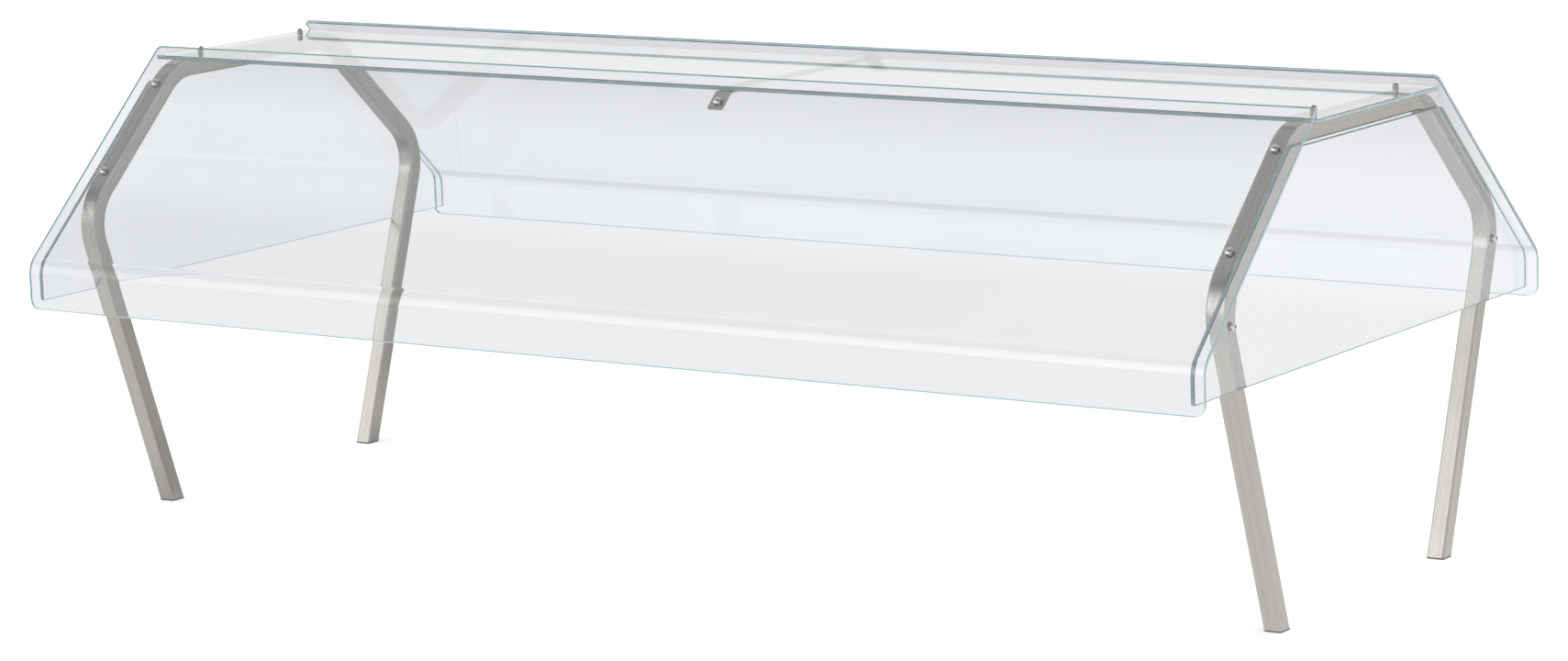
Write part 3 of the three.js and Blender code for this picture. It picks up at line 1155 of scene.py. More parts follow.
class Part(ABC):
    """A part of the guard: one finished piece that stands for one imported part."""

    node: str
    slot: ClassVar[Slot]

    @abstractmethod
    def build(self) -> bpy.types.Object:
        """Builds the piece and returns it."""

    def grain(self) -> Measure | None:
        """Returns the measure of the piece's grain, or None where it has no grain."""
        return None

    def dress(self, piece: bpy.types.Object, finishes: Finishes) -> None:
        """Shades the piece, lays its grain and gives it its finish.

        Args:
            piece: The built piece.
            finishes: The guard's finishes.
        """
        shade(piece)
        measure = self.grain()
        if measure:
            lay_grain(piece, measure)
        present(piece, self.slot, [self.node], finishes[self.slot])


# ---- Frames -------------------------------------------------------------------------------------


@dataclass(frozen=True)
class TubeFrame(Part):
    """One bent square tube: two legs, two knees, two slopes and a level bar."""

    slot: ClassVar[Slot] = Slot.TUBE
    end: End
    view: SideView
    wall: float = WALL
    corner: float = TUBE_CORNER
    nut_hole: float = 4.7 * MM
    pin_hole: float = 4.3 * MM
    bend_steps: int = 24
    side_shift: float = 0.04

    @property
    def node(self) -> str:
        """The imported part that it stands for."""
        return tag(self.end) + "_frame"

    def line(self) -> Line:
        """Returns the tube's centreline, from below the front foot to below the rear foot."""
        below = self.view.foot - self.view.leg_way * self.view.tube
        rear = [below, self.view.knee, self.view.corner]
        return Line.through([(p, self.view.bend_radius) for p in in_front(rear) + rear[::-1]])

    def build(self) -> bpy.types.Object:
        """Builds the tube and returns it."""
        low, high = box_of(self.node)
        line = self.line()
        bm = bmesh.new()
        soft_square(bm, self.view.tube, self.view.tube, self.corner)
        first = line.stretches[0]
        stand_across(bm, first.start, first.way)
        line.sweep(bm, self.bend_steps)
        bmesh.ops.translate(bm, vec=((low.x + high.x) / 2, 0, 0), verts=bm.verts[:])
        bmesh.ops.bisect_plane(
            bm,
            geom=bm.verts[:] + bm.edges[:] + bm.faces[:],
            plane_co=(0, 0, low.z),
            plane_no=UP,
            clear_inner=True,
        )
        tidy(bm)
        piece = make_piece(self.node + "_tube", bm)
        thicken(piece, self.wall, Growth.INWARDS)
        self.drill(piece)
        return piece

    def drill(self, piece: bpy.types.Object) -> None:
        """Drills the outer wall for the nuts and the bar's top for the pins."""
        sideways = Vector((self.end.value, 0, 0))
        nuts: list[Matrix] = []
        pins: list[Matrix] = []
        for side in Side:
            for height in Height:
                seat = Seat.of("slope_nut_" + tag(side, self.end, height), self.view.out(side))
                nuts.append(seat.matrix(seat.high))
            seat = Seat.of("end_nut_" + tag(side, self.end), sideways)
            nuts.append(seat.matrix(seat.high))
            seat = Seat.of("locating_pin_" + tag(side, self.end), UP)
            pins.append(seat.matrix(self.view.bar_top - seat.point.z))
        depth = self.view.tube / 3
        Drill(self.nut_hole, depth).drill(piece, nuts)
        Drill(self.pin_hole, depth).drill(piece, pins)

    def grain(self) -> Measure:
        """Returns the measure of the grain, which follows the tube."""
        line = self.line()

        def measure(place: Vector, normal: Vector) -> tuple[float, float]:
            """Returns the distance along the tube and the place round it."""
            along, left = line.measure(Vector((place.y, place.z)))
            if abs(normal.x) > math.cos(QUARTER / 2):
                return along, left + math.copysign(self.side_shift, normal.x)
            return along, place.x

        return measure


@dataclass(frozen=True)
class FootPlug(Part):
    """A plastic glide that closes a foot: a sole under the tube and a ribbed block up inside it."""

    slot: ClassVar[Slot] = Slot.PLUG
    end: End
    side: Side
    view: SideView
    wall: float = WALL
    corner: float = TUBE_CORNER
    play: float = PLAY
    sole: float = 1.5 * MM
    ribs: int = 4
    rib_depth: float = 0.9 * MM
    soft: float = 0.35 * MM
    soft_steps: int = 3

    @property
    def node(self) -> str:
        """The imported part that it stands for."""
        return "foot_plug_" + tag(self.side, self.end)

    def build(self) -> bpy.types.Object:
        """Builds the plug and returns it."""
        low, high = box_of(self.node)
        bm = bmesh.new()
        soft_square(bm, self.view.tube, self.view.tube / self.view.leg_way.y, self.corner)
        bmesh.ops.translate(bm, vec=in_space(0, self.view.foot), verts=bm.verts[:])
        piece = make_piece(self.node + "_glide", bm)
        thicken(piece, self.sole, Growth.OUTWARDS)
        round_edges(piece, self.soft, self.soft_steps)
        combine(piece, self.block(high.z), Work.WELD)
        if self.side is Side.FRONT:
            piece.data.transform(Matrix.Rotation(math.pi, 4, "Z"))
        piece.data.transform(Matrix.Translation(((low.x + high.x) / 2, 0, 0)))
        return piece

    def block(self, top: float) -> bpy.types.Object:
        """Builds the ribbed block.

        Args:
            top: The height of its highest point.

        Returns:
            The block.
        """
        inside = self.view.tube - 2 * (self.wall + self.play)
        way = self.view.leg_way
        start = self.view.foot + way * (self.sole / 2 + self.view.tube * abs(way.x) / 2)
        tilt_rise = abs(way.x) * inside / 2
        reach = (top - tilt_rise - start.y) / way.y
        bm = bmesh.new()
        soft_square(bm, inside, inside, self.corner - self.wall)
        stand_across(bm, start, way)
        moving = bm.faces[:]
        step = in_space(0, way) * (reach / (4 * self.ribs))
        slim = 1 - 2 * self.rib_depth / inside
        at = in_space(0, start)
        for k in range(4 * self.ribs):
            made = bmesh.ops.extrude_face_region(bm, geom=moving)["geom"]
            moving = [g for g in made if isinstance(g, bmesh.types.BMFace)]
            verts = [g for g in made if isinstance(g, bmesh.types.BMVert)]
            bmesh.ops.translate(bm, vec=step, verts=verts)
            at = at + step
            size = {1: slim, 3: 1 / slim}.get(k % 4)
            if size:
                back = Matrix.Translation(-at)
                bmesh.ops.scale(bm, vec=(size, size, size), space=back, verts=verts)
        tidy(bm)
        return make_piece("plug_block", bm)


# ---- Sheets -------------------------------------------------------------------------------------


@dataclass(frozen=True)
class SheetWork:
    """What every clear sheet shares: its thickness, its polished edge and its screw holes."""

    thickness: float = 6 * MM
    edge_round: float = 1.2 * MM
    edge_steps: int = 4
    screw_hole: float = 3.5 * MM
    pin_hole: float = 4.5 * MM

    def finish(self, piece: bpy.types.Object, growth: Growth) -> None:
        """Gives a flat or bent surface its thickness and rounds its edges.

        Its faces, its edges and their roundings take its first, second and third material slots.

        Args:
            piece: The surface.
            growth: Which way it grows.
        """
        for _ in range(3):
            piece.data.materials.append(None)
        thicken(piece, self.thickness, growth, rim=1)
        round_edges(piece, self.edge_round, self.edge_steps, slot=2)

    def drill(self, piece: bpy.types.Object, radius: float, places: Iterable[Matrix]) -> None:
        """Drills holes right through.

        Args:
            piece: The sheet.
            radius: The holes' radius.
            places: The transform of each hole.
        """
        Drill(radius, 2 * self.thickness).drill(piece, places)


@dataclass(frozen=True)
class SlopeSheet(Part):
    """A long sheet on a slope that runs past the knee and bends to an upright lip."""

    slot: ClassVar[Slot] = Slot.SHEET
    side: Side
    view: SideView
    work: SheetWork = SheetWork()
    play: float = PLAY
    lip_bend: float = LIP_BEND
    upper_corner: float = 8 * MM
    lower_corner: float = 15 * MM
    bend_steps: int = 40

    @property
    def node(self) -> str:
        """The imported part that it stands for."""
        return tag(self.side) + "_panel"

    def build(self) -> bpy.types.Object:
        """Builds the sheet and returns it."""
        low, high = box_of(self.node)
        half = self.work.thickness / 2
        offset = self.view.tube / 2 + self.play + half
        way = self.view.slope_way
        depth = max(abs(low.y), abs(high.y)) - half
        rim_face = self.view.beside_slope(offset + half)
        rim = self.view.beside_slope(offset) + way * ((high.z - rim_face.y) / way.y)
        bend = meeting(rim, way, Vector((depth, 0)), Vector((0, 1)))
        line = Line.through([(rim, 0), (bend, self.lip_bend + half), (Vector((depth, low.z)), 0)])
        bm = bmesh.new()
        edge_across(bm, high.x - low.x, rim)
        line.sweep(bm, self.bend_steps)
        for level, radius in ((rim.y, self.upper_corner), (low.z, self.lower_corner)):
            ends = [v for v in bm.verts if abs(v.co.z - level) < TINY]
            round_corners(bm, ends, radius)
        if self.side is Side.FRONT:
            bmesh.ops.rotate(bm, matrix=Matrix.Rotation(math.pi, 3, "Z"), verts=bm.verts[:])
        bmesh.ops.recalc_face_normals(bm, faces=bm.faces[:])
        piece = make_piece(self.node + "_sheet", bm)
        self.work.finish(piece, Growth.BOTH_WAYS)
        self.work.drill(piece, self.work.screw_hole, self.holes())
        return piece

    def holes(self) -> list[Matrix]:
        """Returns the places of the screw holes."""
        out = self.view.out(self.side)
        names = ["slope_screw_" + tag(self.side, end, height) for end in End for height in Height]
        names.append("strap_screw_" + tag(self.side))
        return [Seat.of(name, out).matrix(0) for name in names]


@dataclass(frozen=True)
class TopSheet(Part):
    """The flat sheet on the two bars."""

    slot: ClassVar[Slot] = Slot.SHEET
    work: SheetWork = SheetWork()
    corner: float = 8 * MM
    node: str = "top_panel"

    def build(self) -> bpy.types.Object:
        """Builds the sheet and returns it."""
        low, high = box_of(self.node)
        bm = bmesh.new()
        soft_square(bm, high.x - low.x, high.y - low.y, self.corner)
        bmesh.ops.translate(bm, vec=(0, 0, low.z), verts=bm.verts[:])
        piece = make_piece(self.node + "_sheet", bm)
        self.work.finish(piece, Growth.OUTWARDS)
        pins = ["locating_pin_" + tag(side, end) for side in Side for end in End]
        places = [Seat.of(pin, UP) for pin in pins]
        self.work.drill(piece, self.work.pin_hole, [s.matrix(low.z - s.point.z) for s in places])
        return piece


@dataclass(frozen=True)
class EndSheet(Part):
    """The flat sheet on a frame's outer side, cut to the line of the slopes and lips."""

    slot: ClassVar[Slot] = Slot.SHEET
    end: End
    view: SideView
    work: SheetWork = SheetWork()
    play: float = PLAY
    edge_gap: float = 1 * MM
    lip_bend: float = LIP_BEND
    corner: float = 4 * MM

    @property
    def node(self) -> str:
        """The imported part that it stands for."""
        return tag(self.end) + "_end_panel"

    def build(self) -> bpy.types.Object:
        """Builds the sheet and returns it."""
        low, high = box_of(self.node)
        way = self.view.slope_way
        edge = self.view.beside_slope(self.view.tube / 2 + self.play - self.edge_gap)
        top = meeting(Vector((0, high.z)), Vector((1, 0)), edge, way)
        bend = meeting(edge, way, Vector((high.y, 0)), Vector((0, 1)))
        turn = way.angle(Vector((0, 1)))
        rounding = (self.lip_bend - self.edge_gap) * math.tan(turn / 2)
        half = [(Vector((high.y, low.z)), self.corner), (bend, rounding), (top, self.corner)]
        outline = half + [(Vector((-p.x, p.y)), inset) for p, inset in half[::-1]]
        bm = bmesh.new()
        corners = [bm.verts.new(in_space((low.x + high.x) / 2, p)) for p, _ in outline]
        bm.faces.new(corners)
        for corner, (_, inset) in zip(corners, outline):
            round_corners(bm, [corner], inset)
        piece = make_piece(self.node + "_sheet", bm)
        self.work.finish(piece, Growth.BOTH_WAYS)
        sideways = Vector((self.end.value, 0, 0))
        screws = ["end_screw_" + tag(side, self.end) for side in Side]
        places = [Seat.of(screw, sideways).matrix(0) for screw in screws]
        self.work.drill(piece, self.work.screw_hole, places)
        return piece


# ---- Strap --------------------------------------------------------------------------------------


@dataclass(frozen=True)
class CentreStrap(Part):
    """The flat metal strap under the top sheet, with a tab bent down at each end."""

    slot: ClassVar[Slot] = Slot.STRAP
    view: SideView
    thickness: float = 2 * MM
    bend: float = 4 * MM
    tab: float = 31 * MM
    corner: float = 3 * MM
    hole: float = 3.5 * MM
    soft: float = 0.3 * MM
    soft_steps: int = 2
    bend_steps: int = 12
    node: str = "centre_strap"

    def line(self) -> Line:
        """Returns the middle line of the strap, from the front tab's end to the rear one's."""
        half = self.thickness / 2
        level = Vector((0, self.view.bar_top - half))
        face = self.view.beside_slope(self.view.tube / 2 - half)
        fold = meeting(level, Vector((1, 0)), face, self.view.slope_way)
        rear = [fold - self.view.slope_way * self.tab, fold]
        return Line.through([(p, self.bend + half) for p in in_front(rear) + rear[::-1]])

    def build(self) -> bpy.types.Object:
        """Builds the strap and returns it."""
        low, high = box_of(self.node)
        line = self.line()
        bm = bmesh.new()
        edge_across(bm, high.x - low.x, line.stretches[0].start)
        line.sweep(bm, self.bend_steps)
        bmesh.ops.translate(bm, vec=((low.x + high.x) / 2, 0, 0), verts=bm.verts[:])
        tips = sorted(bm.verts, key=lambda v: v.co.z)[:4]
        round_corners(bm, tips, self.corner)
        bmesh.ops.recalc_face_normals(bm, faces=bm.faces[:])
        piece = make_piece(self.node + "_bar", bm)
        thicken(piece, self.thickness, Growth.BOTH_WAYS)
        seats = [Seat.of("strap_screw_" + tag(side), self.view.out(side)) for side in Side]
        Drill(self.hole, 6 * self.thickness).drill(piece, [seat.matrix(0) for seat in seats])
        round_edges(piece, self.soft, self.soft_steps)
        return piece

    def grain(self) -> Measure:
        """Returns the measure of the grain, which follows the strap."""
        line = self.line()

        def measure(place: Vector, normal: Vector) -> tuple[float, float]:
            """Returns the distance along the strap and the place across it."""
            along, left = line.measure(Vector((place.y, place.z)))
            return along, place.x + left

        return measure


# ---- Fasteners ----------------------------------------------------------------------------------


@dataclass(frozen=True)
class ButtonScrew(Part):
    """A button-head socket screw."""

    slot: ClassVar[Slot] = Slot.SCREW
    node: str
    axis: Vector
    radius: float = 3 * MM
    head_radius: float = 6 * MM
    head_height: float = 3.4 * MM
    rim: float = 0.8 * MM
    socket_across: float = 4 * MM
    socket_depth: float = 2 * MM
    pitch: float = 1 * MM
    thread_depth: float = 0.35 * MM
    neck: float = 1.2 * MM
    soft: float = 0.25 * MM
    sharp_from: float = math.radians(30)
    steps: int = 36

    def profile(self, length: float) -> list[tuple[float, float]]:
        """Draws half the screw's section, from its tip to the top of its head.

        Args:
            length: The length under the head.

        Returns:
            Radius and height of each point, with the head's bearing face at height 0.
        """
        root = self.radius - self.thread_depth
        line = [(0.0, -length), (root, -length)]
        turns = int((length - self.neck) / self.pitch)
        for k in range(turns):
            foot = -length + k * self.pitch
            line.append((self.radius, foot + self.pitch / 2))
            line.append((root, foot + self.pitch))
        line += [(self.radius - self.soft, -self.neck / 2), (self.radius - self.soft, 0.0)]
        line += arc((self.head_radius - self.soft, self.soft), self.soft, -QUARTER, 0, 3)
        crown = self.head_height - self.rim
        ball = (self.head_radius**2 + crown**2) / (2 * crown)
        rise = math.asin(self.head_radius / ball)
        line += arc((0.0, self.head_height - ball), ball, QUARTER - rise, QUARTER, 9)
        return line

    def build(self) -> bpy.types.Object:
        """Builds the screw and returns it."""
        seat = Seat.of(self.node, self.axis)
        profile = self.profile(seat.length - self.head_height)
        piece = turned(self.node + "_turned", profile, self.steps)
        combine(piece, self.socket(), Work.CUT)
        self.soften_socket(piece)
        piece.data.transform(seat.matrix(seat.high - self.head_height))
        return piece

    def socket(self) -> bpy.types.Object:
        """Builds the hexagonal tool that cuts the socket."""
        bm = bmesh.new()
        mouth = Matrix.Translation((0, 0, self.head_height))
        rod(bm, hexagon_radius(self.socket_across), 2 * self.socket_depth, 6, mouth)
        return make_piece("socket", bm)

    def soften_socket(self, piece: bpy.types.Object) -> None:
        """Rounds the socket's rim and corners."""
        bm = bmesh.new()
        bm.from_mesh(piece.data)
        tidy(bm)
        reach = hexagon_radius(self.socket_across) + TINY
        floor = self.head_height - self.socket_depth
        sharp = [
            e
            for e in bm.edges
            if all(v.co.xy.length < reach and v.co.z > floor + TINY for v in e.verts)
            and e.calc_face_angle(0) > self.sharp_from
        ]
        bmesh.ops.bevel(
            bm,
            geom=sharp,
            offset=self.soft / 2,
            affect="EDGES",
            segments=2,
            profile=0.5,
            material=-1,
        )
        bm.to_mesh(piece.data)
        bm.free()


@dataclass(frozen=True)
class RivetNut(Part):
    """A rivet nut set in a tube's wall."""

    slot: ClassVar[Slot] = Slot.NUT
    node: str
    axis: Vector
    bore: float = 3.3 * MM
    body: float = 4.4 * MM
    collar: float = 5.8 * MM
    collar_length: float = 2 * MM
    wall: float = WALL
    play: float = PLAY
    taper: float = 1 * MM
    soft: float = 0.3 * MM
    thread: float = 0.25 * MM
    pitch: float = 1 * MM
    steps: int = 28

    def profile(self, length: float) -> list[tuple[float, float]]:
        """Draws half the nut's section as a closed loop.

        Args:
            length: The nut's length.

        Returns:
            Radius and height of each point, with the tube's face at height 0.
        """
        top = -self.wall - self.play
        low = top - self.collar_length
        bulge = self.collar_length / 2
        line = [(self.body - self.soft, -length), (self.body, -length + self.soft)]
        line.append((self.body, low - self.taper))
        line += arc((self.collar - bulge, (top + low) / 2), bulge, -QUARTER, QUARTER, 6)
        line += [(self.body, top), (self.body, -self.soft), (self.body - self.soft, 0.0)]
        line.append((self.bore + self.thread, 0.0))
        turns = int(length / self.pitch) - 1
        for k in range(turns):
            line.append((self.bore, -(k + 0.5) * self.pitch))
            line.append((self.bore + self.thread, -(k + 1) * self.pitch))
        line.append((self.bore + self.thread, -length))
        return line

    def build(self) -> bpy.types.Object:
        """Builds the nut and returns it."""
        seat = Seat.of(self.node, self.axis)
        piece = turned(self.node + "_set", self.profile(seat.length), self.steps, closed=True)
        piece.data.transform(seat.matrix(seat.high))
        return piece


@dataclass(frozen=True)
class CapNut(Part):
    """A domed hexagon nut on a strap screw."""

    slot: ClassVar[Slot] = Slot.SCREW
    node: str
    axis: Vector
    across: float = 10 * MM
    hex_height: float = 6 * MM
    bore: float = 3.3 * MM
    bore_depth: float = 8.5 * MM
    bore_start: float = 1 * MM
    step: float = 0.4 * MM
    chamfer: float = 0.7 * MM
    steps: int = 36

    def build(self) -> bpy.types.Object:
        """Builds the nut and returns it."""
        seat = Seat.of(self.node, self.axis)
        corner = hexagon_radius(self.across)
        low = -self.hex_height
        bm = bmesh.new()
        rod(bm, corner, self.hex_height, 6, Matrix.Translation((0, 0, low / 2)))
        piece = make_piece(self.node + "_domed", bm)
        small, shoulder = corner - self.chamfer, self.chamfer / 2
        barrel = [(0.0, 0.0), (small, 0.0), (corner, -shoulder), (corner, low + shoulder)]
        barrel += [(small, low), (0.0, low)]
        radius, height = self.across / 2 - self.step, seat.length - self.hex_height
        quarter = arc((0.0, 0.0), 1.0, 0, QUARTER, 10)
        dome = [(0.0, low / 2), (radius, low / 2)]
        dome += [(radius * x, low - height * y) for x, y in quarter]
        hollow = [(0.0, self.bore_start), (self.bore, self.bore_start)]
        hollow += [(self.bore, -self.bore_depth + self.bore / 2), (0.0, -self.bore_depth)]
        for profile, how in ((barrel, Work.TRIM), (dome, Work.WELD), (hollow, Work.CUT)):
            combine(piece, turned("tool", profile, self.steps), how)
        piece.data.transform(seat.matrix(seat.high))
        return piece


@dataclass(frozen=True)
class LocatingPin(Part):
    """A round pin with a domed top that holds the top sheet in place."""

    slot: ClassVar[Slot] = Slot.PIN
    node: str
    radius: float = 4 * MM
    dome: float = 3.2 * MM
    chamfer: float = 0.8 * MM
    groove: float = 0.35 * MM
    groove_drop: float = 10.5 * MM
    steps: int = 36

    def build(self) -> bpy.types.Object:
        """Builds the pin and returns it."""
        seat = Seat.of(self.node, UP)
        top = seat.length
        edge = top - self.dome
        ring = top - self.groove_drop
        line = [(0.0, 0.0), (self.radius - self.chamfer, 0.0), (self.radius, self.chamfer)]
        line += [(self.radius, ring - self.groove), (self.radius - self.groove, ring)]
        line += [(self.radius, ring + self.groove)]
        quarter = arc((0.0, 0.0), 1.0, 0, QUARTER, 12)
        line += [(self.radius * x, edge + self.dome * y) for x, y in quarter]
        piece = turned(self.node + "_pin", line, self.steps)
        piece.data.transform(seat.matrix(seat.low))
        return piece


# ---- Studio -------------------------------------------------------------------------------------


# The grey that the dome and the floor show through sheets. On the floor it is painted shade: a glow
# darker than the bare paper.
BEHIND_SHEETS: Colour = (0.855, 0.862, 0.875, 1)


@dataclass(frozen=True)
class StudioPaper(Finish):
    """Pale floor paper, with painted light and shade where it is seen through sheets and in metal.

    Seen through sheets it glows grey, with a painted brighter band behind the guard and painted
    shade afar. Metal mirrors it with painted shade, darker under the guard than beside it.

    The ranges are distances in metres: of depth, along the ways aside and ahead, and from the line
    on the floor under the guard's rear.
    """

    name: str = "Studio paper"
    paper: Colour = (0.93, 0.93, 0.93, 1)
    fleck: float = 3.0
    fleck_share: float = 0.02
    glow: float = 0.22
    # Painted light and shade on the floor seen through sheets: a brighter band behind, and darker
    # afar.
    painted_light_behind: float = 1.09
    behind_from: Range = (1.9, 2.3)
    painted_shade_afar: float = 0.82
    afar_from: Range = (3.3, 4.3)
    # Painted shade on the floor that metal mirrors: dark under the guard, lighter along its rear,
    # bright beside it and in front.
    painted_shade_under_guard: float = 0.48
    painted_shade_under_rear: float = 0.7
    rear_line: float = 0.48
    rear_band: Range = (0.1, 0.22)
    beside_guard: float = 0.95
    aside: tuple[float, float, float] = (1.0, -0.5, 0.0)
    aside_from: Range = (0.45, 0.75)
    in_front: float = 0.88
    ahead: tuple[float, float, float] = (-0.15, -1.0, 0.0)
    ahead_from: Range = (0.3, 0.5)

    def fill(self, t: Tree) -> dict[str, Socket]:
        """Adds the paper's nodes and returns its surface."""
        place = t.on_piece()
        fleck = t.spread(t.noise(place, self.fleck, 2.0), 0.0, self.fleck_share)
        lit = t.node("BsdfDiffuse", {"Color": t.blend(fleck, self.paper, BEHIND_SHEETS)})
        glow = t.node("Emission", {"Strength": self.glow})
        bare = t.node("AddShader", {0: lit.outputs[0], 1: glow.outputs[0]})
        depth = t.node("SeparateXYZ", {0: place}).outputs["Y"]
        # Painted light and shade: seen through sheets, the floor glows brighter in a band behind
        # the guard and darker afar.
        nearer = t.spread(depth, 1.0, self.painted_light_behind, *self.behind_from)
        farther = t.spread(depth, 1.0, self.painted_shade_afar, *self.afar_from)
        strength = t.maths("MULTIPLY", nearer, farther)
        behind = t.node("Emission", {"Color": BEHIND_SHEETS, "Strength": strength})
        # Painted shade: the floor that metal mirrors glows darker under the guard than beside it.
        mirrored = t.node("Emission", {"Strength": self.mirrored(t, place, depth)})
        shown = t.as_seen(bare.outputs[0], behind.outputs[0], mirrored.outputs[0])
        return {"Surface": shown}

    def mirrored(self, t: Tree, place: Socket, depth: Socket) -> Socket:
        """Paints shade into the floor that metal mirrors: darker under the guard than beside it.

        Args:
            t: The paper's tree.
            place: Places on the floor.
            depth: Their depth.

        Returns:
            The painted light and shade of each place.
        """
        # Painted shade under the guard, lighter along its rear line, bright beside it and in front
        # of it.
        under = self.painted_shade_under_guard
        beside = t.spread(t.along(place, self.aside), under, self.beside_guard, *self.aside_from)
        before = t.spread(t.along(place, self.ahead), under, self.in_front, *self.ahead_from)
        offset = t.maths("ABSOLUTE", t.maths("SUBTRACT", depth, self.rear_line))
        below = t.spread(offset, self.painted_shade_under_rear, under, *self.rear_band)
        return t.maths("MAXIMUM", t.maths("MAXIMUM", beside, before), below)


@dataclass(frozen=True)
class Dome:
    """A soft dome, in which mirrors see a window in front and darker sides.

    The stops are heights and their light, from the horizon at 0 to overhead at 1. The ranges are
    parts of a direction: of its X for the window's two ends, of its Y for the turn from front to
    rear, and of its X either way for the sides.
    """

    plain: Stops = ((0.0, 1.0), (0.3, 0.95), (1.0, 0.9))
    room: Stops = ((0.0, 1.0), (0.3, 0.95), (0.8, 0.6), (1.0, 0.6))
    window: Stops = (
        (0.0, 0.8),
        (0.04, 2.4),
        (0.3, 2.4),
        (0.35, 1.7),
        (0.46, 1.7),
        (0.53, 0.38),
        (0.7, 0.38),
        (0.8, 0.66),
        (1.0, 0.66),
    )
    left_light: float = 0.62
    left_end: Range = (-0.66, -0.46)
    right_light: float = 0.45
    right_end: Range = (-0.38, -0.22)
    front: Range = (-0.4, 0.0)
    side_light: float = 0.72
    sides: Range = (0.72, 0.9)

    def build(self) -> None:
        """Makes the dome the scene's world."""
        world = bpy.data.worlds.new("dome")
        world.use_nodes = True
        world.node_tree.nodes.clear()
        t = Tree(world.node_tree)
        way = t.node("SeparateXYZ", {0: t.node("TexCoord").outputs["Generated"]}).outputs
        looks = (self.ramp(t, way["Z"], self.plain), BEHIND_SHEETS, self.mirrored(t, way))
        shown = [t.node("Background", {"Color": look}).outputs[0] for look in looks]
        t.node("OutputWorld", {"Surface": t.as_seen(*shown)})
        bpy.context.scene.world = world

    def mirrored(self, t: Tree, way: Given) -> Socket:
        """Shades the dome that mirrors see.

        Args:
            t: The world's tree.
            way: The parts of a direction.

        Returns:
            The light of each direction.
        """
        left = t.spread(way["X"], self.left_light, 1.0, *self.left_end)
        right = t.spread(way["X"], 1.0, self.right_light, *self.right_end)
        pane = t.maths("MULTIPLY", left, right)
        window = t.dimmed(self.ramp(t, way["Z"], self.window), pane)
        ahead = t.spread(way["Y"], 1.0, 0.0, *self.front)
        room = t.blend(ahead, self.ramp(t, way["Z"], self.room), window)
        sides = t.spread(t.maths("ABSOLUTE", way["X"]), 1.0, self.side_light, *self.sides)
        return t.dimmed(room, sides)

    def ramp(self, t: Tree, height: Socket, stops: Stops) -> Socket:
        """Shades the dome by height.

        Args:
            t: The world's tree.
            height: The height of a direction.
            stops: Heights and their light.

        Returns:
            The light.
        """
        ramp = t.node("ValToRGB", {0: height})
        marks = ramp.color_ramp.elements
        while len(marks) < len(stops):
            marks.new(0.5)
        for mark, (level, light) in zip(marks, stops):
            mark.position = level
            mark.color = (light, light, light, 1)
        return ramp.outputs[0]


@dataclass(frozen=True)
class SoftCeiling:
    """The light of a wide white ceiling: its strength, its spread in degrees, and its lean."""

    strength: float = 0.95
    spread: float = 70.0
    lean: tuple[float, float, float] = (0.25, 0.1, 0.0)

    def build(self) -> None:
        """Adds the light to the scene."""
        data = bpy.data.lights.new("ceiling", "SUN")
        data.energy = self.strength
        data.angle = math.radians(self.spread)
        lamp = bpy.data.objects.new("ceiling", data)
        lamp.location = (0, 0, 4)
        lamp.rotation_euler = self.lean
        lamp.visible_glossy = False
        lamp.visible_transmission = False
        bpy.context.scene.collection.objects.link(lamp)


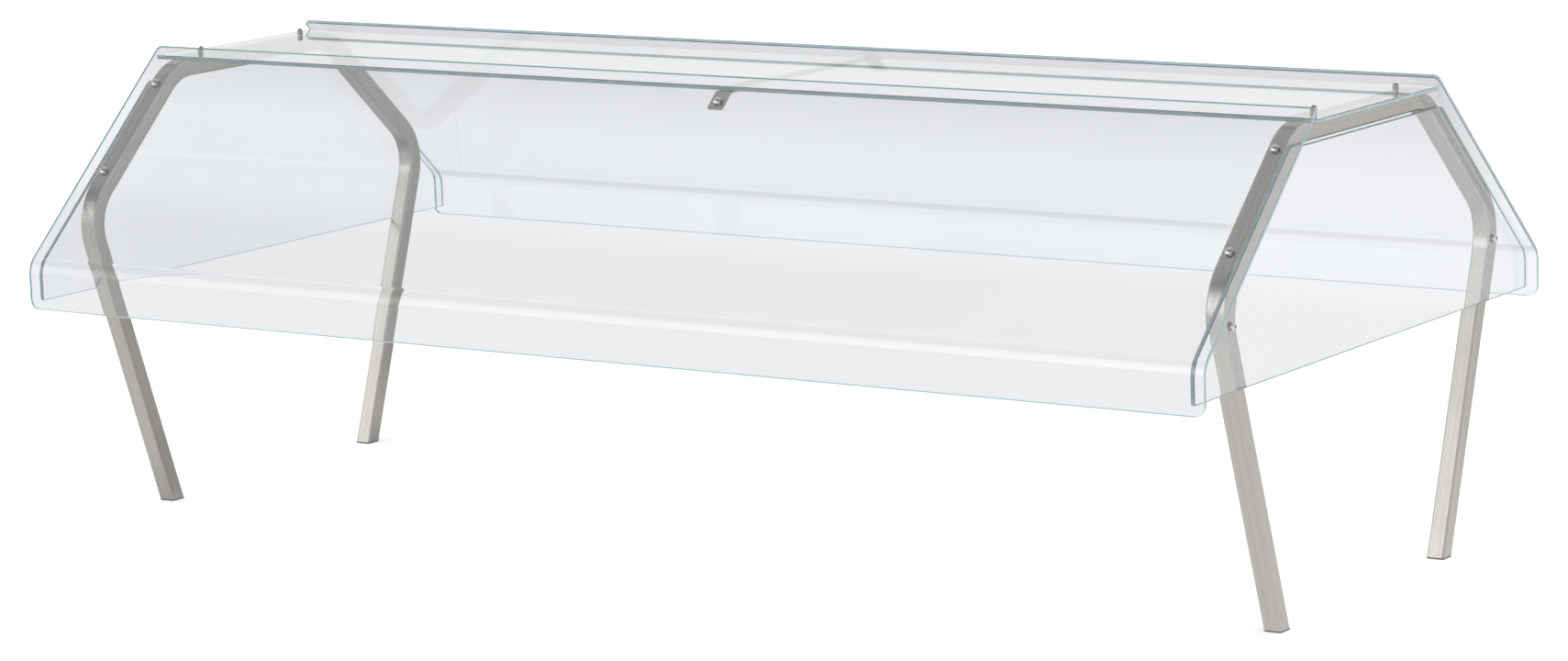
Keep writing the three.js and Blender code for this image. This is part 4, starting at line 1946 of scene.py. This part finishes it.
@dataclass(frozen=True)
class Viewpoint:
    """The camera: its place, its turn from looking along +Y, its tilts, and its lens in mm."""

    place: tuple[float, float, float] = (3.865, -5.708, 1.512)
    yaw: float = 0.5925
    pitch: float = -0.1763
    roll: float = -0.0309
    lens: float = 113.3
    sensor: float = 36.0
    farthest: float = 200.0

    def build(self) -> None:
        """Adds the camera to the scene and makes it the scene's own."""
        data = bpy.data.cameras.new("camera")
        data.lens = self.lens
        data.sensor_width = self.sensor
        data.sensor_fit = "HORIZONTAL"
        data.clip_end = self.farthest
        camera = bpy.data.objects.new("camera", data)
        level = Matrix.Rotation(self.yaw, 4, "Z") @ Matrix.Rotation(QUARTER, 4, "X")
        tilt = Matrix.Rotation(self.pitch, 4, "X") @ Matrix.Rotation(self.roll, 4, "Z")
        camera.matrix_world = Matrix.Translation(self.place) @ level @ tilt
        bpy.context.scene.collection.objects.link(camera)
        bpy.context.scene.camera = camera


@dataclass(frozen=True)
class Studio:
    """A wide round floor under a soft dome and a ceiling light, and the camera."""

    floor_radius: float = 60.0
    floor_steps: int = 96

    def build(self) -> None:
        """Sets up the floor, the dome, the light and the camera."""
        bm = bmesh.new()
        bmesh.ops.create_circle(
            bm, cap_ends=True, segments=self.floor_steps, radius=self.floor_radius
        )
        floor = make_piece("studio_floor", bm)
        floor.data.materials.append(StudioPaper().material())
        for fitting in (Dome(), SoftCeiling(), Viewpoint()):
            fitting.build()
        bpy.context.scene.view_settings.view_transform = "Standard"


# ---- Assembly -----------------------------------------------------------------------------------


def parts(view: SideView) -> list[Part]:
    """Lists every part of the guard in the order in which it is put together.

    Args:
        view: The side view that the parts follow.

    Returns:
        The parts.
    """
    listed: list[Part] = []
    for end in End:
        listed.append(TubeFrame(end, view))
        listed += [FootPlug(end, side, view) for side in Side]
    listed += [SlopeSheet(side, view) for side in Side]
    listed.append(TopSheet())
    listed += [EndSheet(end, view) for end in End]
    listed.append(CentreStrap(view))
    for side in Side:
        out = view.out(side)
        for end in End:
            sideways = Vector((end.value, 0, 0))
            for height in Height:
                listed.append(ButtonScrew("slope_screw_" + tag(side, end, height), out))
                listed.append(RivetNut("slope_nut_" + tag(side, end, height), out))
            listed.append(ButtonScrew("end_screw_" + tag(side, end), sideways))
            listed.append(RivetNut("end_nut_" + tag(side, end), sideways))
            listed.append(LocatingPin("locating_pin_" + tag(side, end)))
        listed.append(ButtonScrew("strap_screw_" + tag(side), out))
        listed.append(CapNut("strap_nut_" + tag(side), out))
    return listed


def main() -> None:
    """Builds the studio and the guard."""
    logging.basicConfig(level=logging.INFO, format="%(message)s")
    Studio().build()
    finishes = mix_finishes()
    for part in parts(SideView.packed()):
        part.dress(part.build(), finishes)


if __name__ == "__main__":
    main()
